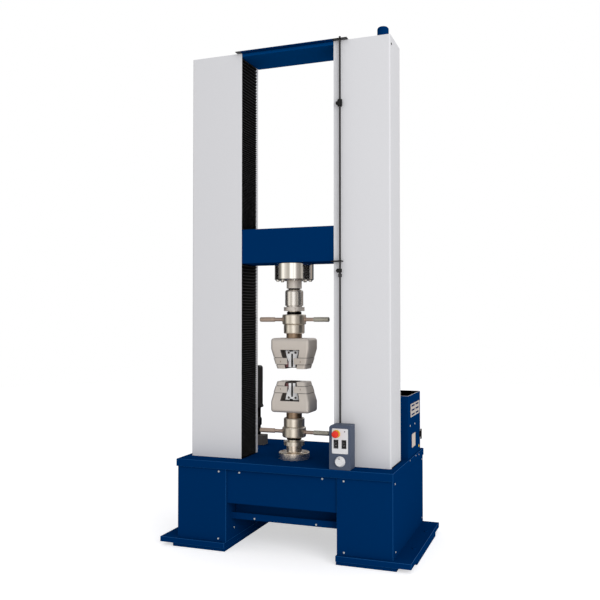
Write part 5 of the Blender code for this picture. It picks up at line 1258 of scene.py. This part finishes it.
class TESTINGMACHINE_OT_straps(bpy.types.Operator):
    """Model the straps that hold the cheeks of the grips, with their screws"""

    bl_idname = "testing_machine.straps"
    bl_label = "Jaw straps"

    def strap(self):
        """A band round the tapered body that is open in front of the jaws."""
        low, high, thick, proud, gap = 0.0205, 0.0495, 0.0045, 0.0008, 0.0165
        half = grip_half(low)
        x, y = half.x + proud, half.y + proud
        inner_x, inner_y = half.x - thick, half.y - thick
        outline = [(-gap, -y), (-gap, -inner_y), (-inner_x, -inner_y), (-inner_x, inner_y), (inner_x, inner_y),
                   (inner_x, -inner_y), (gap, -inner_y), (gap, -y), (x, -y), (x, y), (-x, y), (-x, -y)]
        shape = drawn(outline, low, high)
        grow = grip_half(high) - half
        for vert in shape.verts:
            if vert.co.z > (low + high) / 2:
                if abs(vert.co.x) > gap + 0.001:
                    vert.co.x += math.copysign(grow.x, vert.co.x)
                vert.co.y += math.copysign(grow.y, vert.co.y)
        outer = [edge for edge in shape.edges if abs(edge.verts[0].co.z - edge.verts[1].co.z) > 0.010
                 and all(abs(vert.co.x) > grip_half(vert.co.z).x and abs(vert.co.y) > grip_half(vert.co.z).y
                         for vert in edge.verts)]
        round_edges(shape, outer, sizes().strap_rounding, 5)
        return round_edges(shape, sharp_edges(shape, 30.0), 0.0006, 2)

    def execute(self, context):
        for name, mouth, up, rides in GRIPS:
            piece = Piece(f"{name}_strap")
            piece.add(to_grip(self.strap(), mouth, up), finish(blasted_grip))
            height = 0.0350
            front = -grip_half(height).y - 0.0004
            tilt = math.atan2(SHOULDER_HALF.y - MOUTH_HALF.y, SHOULDER_HEIGHT)
            for side in (-1, 1):
                head = box((-0.0011, -0.0008, -0.0055), (0.0011, 0.0010, 0.0055), 0.0003, 1)
                bmesh.ops.rotate(head, cent=(0.0, 0.0, 0.0), verts=head.verts,
                                 matrix=Matrix.Rotation(-tilt, 3, "X"))
                bmesh.ops.translate(head, vec=(side * 0.0480, front - 0.0004, height), verts=head.verts)
                piece.add(to_grip(head, mouth, up), finish(oxide_steel))
            piece.ride(rides, "nickel_plated_steel", f"{name}_jaw_strap")
        return {"FINISHED"}


class TESTINGMACHINE_OT_limit_rod(bpy.types.Operator):
    """Model the limit rod, its two stops and the trip arm"""

    bl_idname = "testing_machine.limit_rod"
    bl_label = "Limit rod and stops"

    def execute(self, context):
        low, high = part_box("limit_rod")
        x, y = (low.x + high.x) / 2, (low.y + high.y) / 2
        place = (x, y, 0.0)
        rod = Piece("rod")
        rod.add(turned([(0.0, high.z), (0.0035, high.z), (0.0045, high.z - 0.001), (0.0045, low.z), (0.0, low.z)],
                       place, steps=SMALL_STEPS), finish(phosphated_steel))
        rod.ride("limit_rod", "dark_steel", "limit_rod")
        upper = Piece("upper_stop_clamp")
        upper.add(turned([(0.0050, 2.003), (0.0085, 2.003), (0.0110, 2.000), (0.0110, 1.974), (0.0085, 1.971),
                          (0.0050, 1.971)], place, steps=SMALL_STEPS, edge=0.0005), finish(black_plastic))
        upper.add(turned([(0.0, 0.0060), (0.0095, 0.0060), (0.0095, 0.0110), (0.0070, 0.0150), (0.0060, 0.0180),
                          (0.0, 0.0185)], (x, y, 1.987), "-X", SMALL_STEPS, 0.0004), finish(black_plastic))
        upper.ride("upper_stop", "black_plastic", "upper_stop")
        lower = Piece("lower_stop_clamp")
        lower.add(turned([(0.0050, 1.258), (0.0075, 1.258), (0.0085, 1.256), (0.0085, 1.244), (0.0075, 1.242),
                          (0.0050, 1.242)], place, steps=SMALL_STEPS, edge=0.0004), finish(black_plastic))
        lower.add(turned([(0.0050, 1.2365), (0.0080, 1.2365), (0.0080, 1.2225), (0.0070, 1.2215), (0.0050, 1.2215)],
                         place, steps=SMALL_STEPS, edge=0.0004), finish(phosphated_steel))
        ball = [(0.0, 0.0185)]
        ball += [(0.0095 * math.sin(math.radians(angle)), 0.0090 + 0.0095 * math.cos(math.radians(angle)))
                 for angle in range(15, 180, 15)]
        ball.append((0.0, -0.0005))
        lower.add(turned(ball, (x, y, 1.250), "-X", SMALL_STEPS), finish(black_plastic))
        lower.ride("lower_stop", "black_plastic", "lower_stop")
        low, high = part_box("trip_arm")
        neck, rear, back = 0.22165, -0.23135, -0.20685
        outline = [(low.x, low.y), (high.x, low.y), (high.x, rear), (neck, rear), (neck, back), (low.x, back)]
        arm = Piece("trip_lever")
        arm.add(drawn(outline, low.z, high.z, radius=0.0008, holes=[circle(x, y, 0.0055)]), finish(black_paint))
        arm.ride("crosshead", "black_paint", "trip_arm")
        return {"FINISHED"}


STOP_X, STOP_Z, STOP_BORE = 0.2625, 0.5515, 0.0075
ROCKERS = (("left_rocker", 0.2612), ("right_rocker", 0.2965))
ROCKER_Z = 0.5085
KEY_HALF_WIDTH, KEY_HALF_HEIGHT, KEY_GAP = 0.0075, 0.0155, 0.0012


class TESTINGMACHINE_OT_control_box(bpy.types.Operator):
    """Model the control box with its panel, stop button, rockers and knob"""

    bl_idname = "testing_machine.control_box"
    bl_label = "Control box"

    def key_outline(self, x, grow):
        """Outline of a rocker key in the panel, grown on all sides."""
        return rectangle(x - KEY_HALF_WIDTH - grow, ROCKER_Z - KEY_HALF_HEIGHT - grow, x + KEY_HALF_WIDTH + grow,
                         ROCKER_Z + KEY_HALF_HEIGHT + grow)

    def openings(self):
        """The openings for the rockers and the stop button."""
        windows = [self.key_outline(x, KEY_GAP) for _, x in ROCKERS]
        return windows + [circle(STOP_X, STOP_Z, STOP_BORE)]

    def housing(self):
        """The sheet box, open at the back, with one corner cut off."""
        low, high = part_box("control_box")
        cut = 0.009
        outline = [(low.x, low.z), (high.x, low.z), (high.x, high.z), (low.x + cut, high.z), (low.x, high.z - cut)]
        shape = bmesh.new()
        outline_face(shape, outline, self.openings())
        border = [edge for edge in shape.edges if len(edge.link_faces) == 1
                  and any(min(abs(vert.co.x - low.x), abs(vert.co.x - high.x), abs(vert.co.y - low.z),
                              abs(vert.co.y - high.z)) < 0.000001 for vert in edge.verts)]
        grown = bmesh.ops.extrude_edge_only(shape, edges=border)
        bmesh.ops.translate(shape, vec=(0.0, 0.0, high.y - low.y), verts=new_verts(grown))
        bmesh.ops.transform(shape, matrix=Matrix.Translation((0.0, low.y, 0.0)) @ DRAWN["Y"], verts=shape.verts)
        bmesh.ops.recalc_face_normals(shape, faces=shape.faces)
        front = min(shape.faces, key=lambda face: face.calc_center_median().y)
        if front.normal.y > 0.0:
            bmesh.ops.reverse_faces(shape, faces=shape.faces)
        round_edges(shape, sharp_edges(shape), 0.0035, 3)
        bmesh.ops.solidify(shape, geom=list(shape.faces), thickness=0.0025)
        piece = Piece("control_housing")
        piece.add(shape, finish(box_paint))
        piece.ride("frame", "slate_grey_plastic", "control_box")

    def plate(self, low, high):
        """The white plate with its lamp, its screws, the rims of the rockers and the yellow ring."""
        piece = Piece("control_plate")
        piece.add(drawn(rounded_rectangle(low.x, low.z, high.x, high.z, 0.0040), low.y, high.y, "Y", 0.0004, 1,
                        self.openings()), finish(white_panel))
        piece.add(turned([(0.0, -0.0008), (0.0016, -0.0005), (0.0024, 0.0), (0.0, 0.0)],
                         (STOP_X + 0.0370, low.y - 0.0008, STOP_Z + 0.0110), "Y", 24), finish(black_plastic))
        inset = 0.005
        for x in (low.x + inset, high.x - inset):
            for z in (low.z + inset, high.z - inset):
                piece.add(screw(0.0020, 0.0008, (x, low.y, z), "-Y"), finish(zinc_steel))
        for _, x in ROCKERS:
            rim = self.key_outline(x, 0.0028)
            piece.add(drawn(rim, low.y - 0.0010, low.y, "Y", 0.0003, 1, [self.key_outline(x, KEY_GAP)]),
                      finish(black_plastic))
        ring = sizes().yellow_ring
        piece.add(turned([(0.0078, 0.0), (ring, 0.0), (ring, 0.0015), (ring - 0.0020, 0.0032), (0.0078, 0.0032)],
                         (STOP_X, low.y, STOP_Z), "-Y", 48, 0.0003), finish(yellow_plastic))
        piece.ride("frame", "white_plastic", "control_panel")

    def button(self):
        """The mushroom head of the stop button on its stem."""
        head = Piece("stop_button")
        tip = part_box("emergency_stop")[0].y
        head.add(turned([(0.0, 0.0), (0.0080, -0.0004), (0.0120, -0.0016), (0.0145, -0.0040), (0.0150, -0.0060),
                         (0.0150, -0.0105), (0.0140, -0.0120), (0.0070, -0.0120), (0.0070, -0.0350),
                         (0.0, -0.0350)], (STOP_X, tip, STOP_Z), "-Y", 48, 0.0003), finish(red_plastic))
        head.ride("emergency_stop", "red_plastic", "emergency_stop")

    def key(self, name, x, face):
        """One rocker key, bent at its middle, with a bar and a ring as its marks."""
        profile = [(face - 0.0018, -KEY_HALF_HEIGHT), (face + 0.0004, -0.0005), (face - 0.0018, KEY_HALF_HEIGHT),
                   (face + 0.0110, KEY_HALF_HEIGHT), (face + 0.0110, -KEY_HALF_HEIGHT)]
        outline = [(y, ROCKER_Z + z) for y, z in profile]
        key = Piece(name.replace("rocker", "key"))
        key.add(drawn(outline, x - KEY_HALF_WIDTH, x + KEY_HALF_WIDTH, "X", 0.0005, 2), finish(black_plastic))
        mark = -KEY_HALF_HEIGHT * 0.38
        key.add(box((x - 0.0007, face - 0.0014, ROCKER_Z - mark - 0.0028),
                    (x + 0.0007, face - 0.0003, ROCKER_Z - mark + 0.0028), 0.0001, 1), finish(grey_mark))
        key.add(turned([(0.0018, 0.0), (0.0028, 0.0), (0.0028, 0.0008), (0.0018, 0.0008)],
                       (x, face - 0.0005, ROCKER_Z + mark), "-Y", 24), finish(grey_mark))
        key.ride(name, "black_plastic", name)

    def dial(self):
        """The stepped white knob with its pointer."""
        low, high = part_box("speed_knob")
        x, z = (low.x + high.x) / 2, (low.z + high.z) / 2
        deep = high.y - low.y
        knob = Piece("speed_dial")
        knob.add(turned([(0.0, -0.0008), (0.0080, -0.0008), (0.0088, 0.0), (0.0096, -0.0008), (0.0150, -0.0008),
                         (0.0162, 0.0), (0.0176, -0.0010), (0.0196, -0.0100), (0.0222, -0.0130),
                         (0.0225, -0.0145), (0.0225, -0.0160), (0.0050, -0.0160), (0.0050, -deep), (0.0, -deep)],
                        (x, low.y, z), "-Y", STEPS), finish(white_plastic))
        pointer = [(x - 0.0034, z + 0.0125), (x + 0.0034, z + 0.0125), (x, z + 0.0170)]
        knob.add(drawn(pointer, low.y - 0.0004, low.y + 0.0040, "Y", 0.0002, 1), finish(dark_steel))
        knob.ride("speed_knob", "white_plastic", "speed_knob")

    def execute(self, context):
        low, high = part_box("control_panel")
        low.x += 0.0045
        self.housing()
        self.plate(low, high)
        self.button()
        for name, x in ROCKERS:
            self.key(name, x, low.y)
        self.dial()
        return {"FINISHED"}


class TESTINGMACHINE_OT_cabinet(bpy.types.Operator):
    """Model the cabinet behind the right column with its vent, plate and switch"""

    bl_idname = "testing_machine.cabinet"
    bl_label = "Cabinet"

    def execute(self, context):
        low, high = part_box("cabinet")
        shape = box(low, high)
        bottom = min(shape.faces, key=lambda face: face.calc_center_median().z)
        bmesh.ops.delete(shape, geom=[bottom], context="FACES_ONLY")
        round_edges(shape, sharp_edges(shape), sizes().sheet_fold, 3)
        bmesh.ops.solidify(shape, geom=list(shape.faces), thickness=SHEET)
        piece = Piece("rear_cabinet")
        piece.add(shape, finish(blue_paint))
        piece.add(box((low.x + 0.001, low.y + 0.001, high.z - 0.001), (high.x - 0.001, high.y - 0.001, high.z),
                      0.0004, 1), finish(grey_paint))
        for y, z in ((0.0560, 0.5460), (0.1620, 0.5430)):
            piece.add(screw(0.0045, 0.0022, (high.x, y, z), "X"), finish(zinc_steel))
        piece.add(box((high.x, 0.0950, 0.4390), (high.x + 0.0010, 0.1740, 0.5014), 0.0003, 1), finish(cream_plate))
        piece.add(turned([(0.0, 0.0045), (0.0045, 0.0035), (0.0065, 0.0), (0.0, 0.0)], (high.x, 0.2590, 0.4236),
                         "X", SMALL_STEPS), finish(yellow_plastic))
        piece.ride("frame", "deep_blue_paint", "cabinet")
        low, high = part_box("vent_grille")
        slots = []
        rows, columns, slot_high, margin = 3, 2, 0.008, 0.014
        wide = (high.y - low.y - 3 * margin) / columns
        for row in range(rows):
            middle = low.z + (high.z - low.z) * (row + 0.5) / rows
            for column in range(columns):
                start = low.y + margin + column * (wide + margin)
                slots.append(rectangle(start, middle - slot_high / 2, start + wide, middle + slot_high / 2))
        vent = Piece("vent")
        vent.add(drawn(rectangle(low.y, low.z, high.y, high.z), low.x, high.x, "X", 0.0006, 2, slots),
                 finish(vent_sheet))
        vent.ride("frame", "light_grey_paint", "vent_grille")
        low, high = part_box("isolator_switch")
        y, z = (low.y + high.y) / 2, (low.z + high.z) / 2
        face = 0.5003
        switch = Piece("isolator_handle")
        switch.add(turned([(0.0, 0.0), (0.0150, 0.0), (0.0150, 0.0025), (0.0140, 0.0045), (0.0, 0.0045)],
                          (face, y, z), "X", 48, 0.0004), finish(black_plastic))
        switch.add(box((face + 0.0040, y - 0.0060, low.z), (high.x, y + 0.0060, high.z), 0.0020, 3),
                   finish(black_plastic))
        switch.ride("isolator_switch", "black_plastic", "isolator_switch")
        return {"FINISHED"}


class TESTINGMACHINE_OT_rear_stand(bpy.types.Operator):
    """Model the small post with its housing behind the left column"""

    bl_idname = "testing_machine.rear_stand"
    bl_label = "Rear stand"

    def execute(self, context):
        low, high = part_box("rear_stand")
        x, y = -0.3050, 0.16915
        piece = Piece("measuring_stand")
        piece.add(box((x - 0.037, y - 0.030, low.z), (x + 0.037, y + 0.030, low.z + 0.050), 0.002), finish(stand_block))
        piece.add(turned([(0.0, high.z - 0.010), (0.009, high.z - 0.010), (0.009, low.z + 0.050),
                          (0.0, low.z + 0.050)], (x, y, 0.0), steps=SMALL_STEPS), finish(dark_steel))
        dome = [(0.0, 0.542)] + [(0.014 * math.sin(math.radians(angle)), 0.528 + 0.014 * math.cos(math.radians(angle)))
                                 for angle in range(15, 91, 15)]
        piece.add(turned(dome + [(0.014, 0.501), (0.011, 0.497), (0.0, 0.497)], (x, y, 0.0), steps=SMALL_STEPS),
                  finish(black_plastic))
        outline = [(x - 0.017, 0.588), (x + 0.017, 0.588), (x + 0.017, 0.598), (x + 0.013, 0.604), (x + 0.013, 0.788)]
        outline += [(x - 0.001 + 0.014 * math.cos(math.radians(angle)), 0.788 + 0.014 * math.sin(math.radians(angle)))
                    for angle in range(15, 91, 15)]
        outline += [(x - 0.013, 0.802), (x - 0.017, 0.798)]
        piece.add(drawn(outline, y - 0.020, y + 0.020, "Y", 0.003, 3), finish(black_plastic))
        piece.ride("frame", "black_paint", "rear_stand")
        return {"FINISHED"}


class TESTINGMACHINE_OT_panel_screws(bpy.types.Operator):
    """Place the screws that hold the panels of the base"""

    bl_idname = "testing_machine.panel_screws"
    bl_label = "Panel screws"

    # Places across and up on each panel
    PEDESTALS = ((-0.2953, 0.3525), (-0.2973, 0.0519), (0.2913, 0.3516), (0.2920, 0.0508))
    APRON = ((-0.1974, 0.3521), (0.1931, 0.3529))
    PAN = ((-0.1428, 0.1408), (0.1499, 0.1417))
    OUTSIDES = ((-0.27685, 0.3480), (-0.26885, 0.0620), (0.3150, 0.3480), (0.3150, 0.0620))
    INSIDES = ((-0.22785, 0.0840),)
    TABLE_END = ((0.0224, 0.3930), (0.1548, 0.3930), (0.2257, 0.3868))

    def execute(self, context):
        radius = sizes().screw_head
        height = 0.0024
        low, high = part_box("right_pedestal_cover")
        piece = Piece("base_screws")
        for places, y in ((self.PEDESTALS, low.y), (self.APRON, APRON_FRONT), (self.PAN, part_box("belly_pan")[0].y)):
            for x, z in places:
                piece.add(screw(radius, height, (x, y, z), "-Y"), finish(zinc_steel))
        for _, side in SIDES:
            for y, z in self.OUTSIDES:
                piece.add(screw(radius, height, (high.x * side, y, z), outward(side)), finish(zinc_steel))
            for y, z in self.INSIDES:
                piece.add(screw(radius, height, (low.x * side, y, z), outward(-side)), finish(zinc_steel))
        for y, z in self.TABLE_END:
            piece.add(screw(0.0030, 0.0015, (TABLE_HIGH.x, y, z), "X"), finish(zinc_steel))
        piece.ride("frame", "nickel_plated_steel")
        return {"FINISHED"}


class TESTINGMACHINE_OT_stage(bpy.types.Operator):
    """Set the floor, the light, the backdrop and the camera"""

    bl_idname = "testing_machine.stage"
    bl_label = "Stage"

    # What metal mirrors round the horizon, above and below eye level: degrees from the front, then red, green, blue
    HIGH = ((-180, 0.05, 0.06, 0.08), (-150, 0.10, 0.10, 0.11), (-108, 0.03, 0.03, 0.03), (-97, 0.05, 0.05, 0.05),
            (-84, 0.16, 0.15, 0.15), (-72, 0.18, 0.17, 0.15), (-66, 0.28, 0.27, 0.24), (-58, 0.75, 0.74, 0.70),
            (-52, 1.10, 1.08, 1.02), (-44, 1.10, 1.08, 1.02), (-37, 0.80, 0.78, 0.75), (-30, 0.66, 0.63, 0.59),
            (-17, 0.50, 0.48, 0.44), (-12, 0.48, 0.46, 0.43), (-7, 0.68, 0.66, 0.62), (-2, 1.20, 1.20, 1.20),
            (11, 1.20, 1.20, 1.20), (15, 0.90, 0.90, 0.90), (20, 1.20, 1.20, 1.20),
            (27, 1.08, 1.08, 1.06), (33, 0.53, 0.50, 0.49), (39, 0.36, 0.34, 0.33), (56, 0.25, 0.24, 0.22),
            (68, 0.60, 0.58, 0.54), (75, 0.11, 0.10, 0.09), (84, 0.05, 0.05, 0.06), (119, 0.04, 0.04, 0.05),
            (128, 0.10, 0.09, 0.09), (136, 0.34, 0.30, 0.27), (148, 0.38, 0.33, 0.29), (158, 0.06, 0.07, 0.08),
            (180, 0.05, 0.06, 0.08))
    LOW = ((-180, 0.04, 0.05, 0.06), (-110, 0.02, 0.02, 0.01), (-96, 0.03, 0.02, 0.02), (-84, 0.06, 0.05, 0.04),
           (-72, 0.09, 0.08, 0.06), (-62, 0.18, 0.16, 0.14), (-50, 0.31, 0.28, 0.24), (-42, 0.27, 0.24, 0.20),
           (-9, 0.30, 0.27, 0.24), (-2, 0.55, 0.52, 0.48), (5, 1.10, 1.06, 1.00), (22, 1.05, 1.00, 0.94),
           (30, 0.56, 0.50, 0.47), (38, 0.29, 0.25, 0.22), (47, 0.23, 0.19, 0.16), (60, 0.11, 0.08, 0.07),
           (80, 0.05, 0.03, 0.03), (118, 0.02, 0.01, 0.01), (142, 0.09, 0.07, 0.05), (180, 0.04, 0.05, 0.06))

    def ramp(self, tree, share, bands):
        """Colours round the horizon, from behind the object on its left round to behind it on its right."""
        walls = add_node(tree, "ShaderNodeValToRGB", {"Fac": share})
        stops = walls.color_ramp.elements
        stops[0].color = (*bands[0][1:], 1.0)
        stops[1].color = (*bands[-1][1:], 1.0)
        for degrees, *tone in bands[1:-1]:
            stops.new((degrees + 180) / 360).color = (*tone, 1.0)
        return walls.outputs["Color"]

    def blend(self, tree, factor, first, second):
        """Mixes two colours."""
        mixed = add_node(tree, "ShaderNodeMix", {0: factor, 6: first, 7: second}, data_type="RGBA")
        return mixed.outputs[2]

    def between(self, tree, value, low, high):
        """Rises from 0 to 1 between two values."""
        risen = add_node(tree, "ShaderNodeMapRange", {"Value": value, "From Min": low, "From Max": high})
        return risen.outputs["Result"]

    def backdrop(self):
        """White behind the object and in its reflections, with the darker walls of the room at the sides."""
        world = bpy.data.worlds.new("studio")
        world.use_nodes = True
        tree = world.node_tree
        tree.nodes.clear()
        looks = add_node(tree, "ShaderNodeTexCoord").outputs["Generated"]
        parts = add_node(tree, "ShaderNodeSeparateXYZ", {0: looks})
        forward = add_node(tree, "ShaderNodeMath", {0: parts.outputs["Y"], 1: -1.0}, operation="MULTIPLY")
        turn = add_node(tree, "ShaderNodeMath", {0: parts.outputs["X"], 1: forward.outputs[0]},
                        operation="ARCTAN2")
        share = add_node(tree, "ShaderNodeMapRange", {"Value": turn.outputs[0], "From Min": -math.pi,
                                                      "From Max": math.pi})
        level = parts.outputs["Z"]
        white = (1.0, 1.0, 1.0, 1.0)
        low, high = (self.ramp(tree, share.outputs["Result"], bands) for bands in (self.LOW, self.HIGH))
        walls = self.blend(tree, self.between(tree, level, -0.15, -0.09), low, high)
        ceiling = self.blend(tree, self.between(tree, level, 0.15, 0.35), walls, (0.25, 0.24, 0.23, 1.0))
        behind = add_node(tree, "ShaderNodeMath", {0: self.between(tree, level, 0.30, 0.45),
                                                   1: self.between(tree, parts.outputs["Y"], 0.60, 0.85)},
                          operation="MULTIPLY")
        room = self.blend(tree, behind.outputs[0], ceiling, white)
        room = self.blend(tree, self.between(tree, level, 0.75, 0.95), room, white)
        path = add_node(tree, "ShaderNodeLightPath")
        seen = add_node(tree, "ShaderNodeMath", {0: path.outputs["Is Glossy Ray"],
                                                 1: path.outputs["Is Transmission Ray"]}, operation="MAXIMUM")
        light = self.blend(tree, seen.outputs[0], (0.62, 0.62, 0.63, 1.0), room)
        shown = self.blend(tree, path.outputs["Is Camera Ray"], light, white)
        sky = add_node(tree, "ShaderNodeBackground", {"Color": shown, "Strength": 1.0})
        add_node(tree, "ShaderNodeOutputWorld", {"Surface": sky.outputs[0]})
        bpy.context.scene.world = world
        world.cycles.sampling_method = "NONE"

    def floor(self):
        """A pale matte floor that is white where the object casts no shadow."""
        shape = bmesh.new()
        bmesh.ops.create_circle(shape, cap_ends=True, radius=9.0, segments=96)
        bmesh.ops.translate(shape, vec=(0.0, 0.0, -0.0006), verts=shape.verts)
        material = bpy.data.materials.new("studio_floor")
        material.use_nodes = True
        tree = material.node_tree
        tree.nodes.clear()
        path = add_node(tree, "ShaderNodeLightPath")
        seen = add_node(tree, "ShaderNodeMath", {0: path.outputs["Is Camera Ray"],
                                                 1: path.outputs["Is Glossy Ray"]}, operation="MAXIMUM")
        clear = add_node(tree, "ShaderNodeMath", {0: seen.outputs[0], 1: path.outputs["Is Transmission Ray"]},
                         operation="MAXIMUM")
        matte = add_node(tree, "ShaderNodeBsdfDiffuse", {"Color": (0.80, 0.80, 0.81, 1.0)})
        lift = add_node(tree, "ShaderNodeMath", {0: clear.outputs[0], 1: 0.55}, operation="MULTIPLY")
        glow = add_node(tree, "ShaderNodeEmission", {"Color": (1.0, 1.0, 1.0, 1.0), "Strength": lift.outputs[0]})
        both = add_node(tree, "ShaderNodeAddShader", {0: matte.outputs[0], 1: glow.outputs[0]})
        add_node(tree, "ShaderNodeOutputMaterial", {"Surface": both.outputs[0]})
        mesh = bpy.data.meshes.new("studio_floor")
        shape.to_mesh(mesh)
        shape.free()
        mesh.materials.append(material)
        made = bpy.data.objects.new("studio_floor", mesh)
        made.visible_glossy = False
        bpy.context.scene.collection.objects.link(made)

    def lamp(self, name, place, aim, size, power):
        """A soft lamp that lights the object but isn't mirrored in it."""
        light = bpy.data.lights.new(name, "AREA")
        light.size = size
        light.energy = power
        made = bpy.data.objects.new(name, light)
        made.location = place
        made.rotation_euler = (Vector(aim) - Vector(place)).to_track_quat("-Z", "Y").to_euler()
        made.visible_glossy = False
        made.visible_camera = False
        bpy.context.scene.collection.objects.link(made)

    def execute(self, context):
        self.backdrop()
        self.floor()
        self.lamp("right_softbox", (5.2, -4.7, 2.6), (0.0, 0.0, 1.1), 4.4, 217.0)
        data = bpy.data.cameras.new("photo_camera")
        data.lens = sizes().camera_lens
        data.sensor_width = 36.0
        data.shift_y = 0.0064
        data.clip_end = 100.0
        camera = bpy.data.objects.new("photo_camera", data)
        camera.location = (1.2032, -3.35265, 1.0351)
        camera.rotation_euler = (math.radians(90.0 + 1.2322), 0.0, math.radians(20.048))
        context.scene.collection.objects.link(camera)
        context.scene.camera = camera
        context.scene.view_settings.view_transform = "Standard"
        return {"FINISHED"}


OPERATORS = (
    TESTINGMACHINE_OT_foot_frames,
    TESTINGMACHINE_OT_base_panels,
    TESTINGMACHINE_OT_table,
    TESTINGMACHINE_OT_drive,
    TESTINGMACHINE_OT_column_covers,
    TESTINGMACHINE_OT_top,
    TESTINGMACHINE_OT_bellows,
    TESTINGMACHINE_OT_crosshead,
    TESTINGMACHINE_OT_load_cell,
    TESTINGMACHINE_OT_couplings,
    TESTINGMACHINE_OT_collars,
    TESTINGMACHINE_OT_grip_bodies,
    TESTINGMACHINE_OT_jaws,
    TESTINGMACHINE_OT_straps,
    TESTINGMACHINE_OT_limit_rod,
    TESTINGMACHINE_OT_control_box,
    TESTINGMACHINE_OT_cabinet,
    TESTINGMACHINE_OT_rear_stand,
    TESTINGMACHINE_OT_panel_screws,
    TESTINGMACHINE_OT_stage,
)


class TESTINGMACHINE_PT_pieces(bpy.types.Panel):
    """Lists the pieces of the machine, its sizes and its colours."""

    bl_label = "Testing machine"
    bl_idname = "TESTINGMACHINE_PT_pieces"
    bl_space_type = "VIEW_3D"
    bl_region_type = "UI"
    bl_category = "Testing machine"

    def draw(self, context):
        layout = self.layout
        for operator in OPERATORS:
            layout.operator(operator.bl_idname)
        for group in (context.scene.testing_machine_sizes, context.scene.testing_machine_colours):
            for name in group.__annotations__:
                layout.prop(group, name)


CLASSES = (TestingMachineSizes, TestingMachineColours, *OPERATORS, TESTINGMACHINE_PT_pieces)


def register():
    """Registers the classes and hangs the properties on the scene."""
    for kind in CLASSES:
        bpy.utils.register_class(kind)
    bpy.types.Scene.testing_machine_sizes = bpy.props.PointerProperty(type=TestingMachineSizes)
    bpy.types.Scene.testing_machine_colours = bpy.props.PointerProperty(type=TestingMachineColours)


def unregister():
    """Takes the properties and the classes away again."""
    del bpy.types.Scene.testing_machine_colours
    del bpy.types.Scene.testing_machine_sizes
    for kind in reversed(CLASSES):
        bpy.utils.unregister_class(kind)


def main():
    """Builds every piece in order."""
    register()
    for operator in OPERATORS:
        group, name = operator.bl_idname.split(".")
        if getattr(getattr(bpy.ops, group), name)() != {"FINISHED"}:
            raise RuntimeError(f"{operator.bl_label} did not finish")


if __name__ == "__main__":
    main()
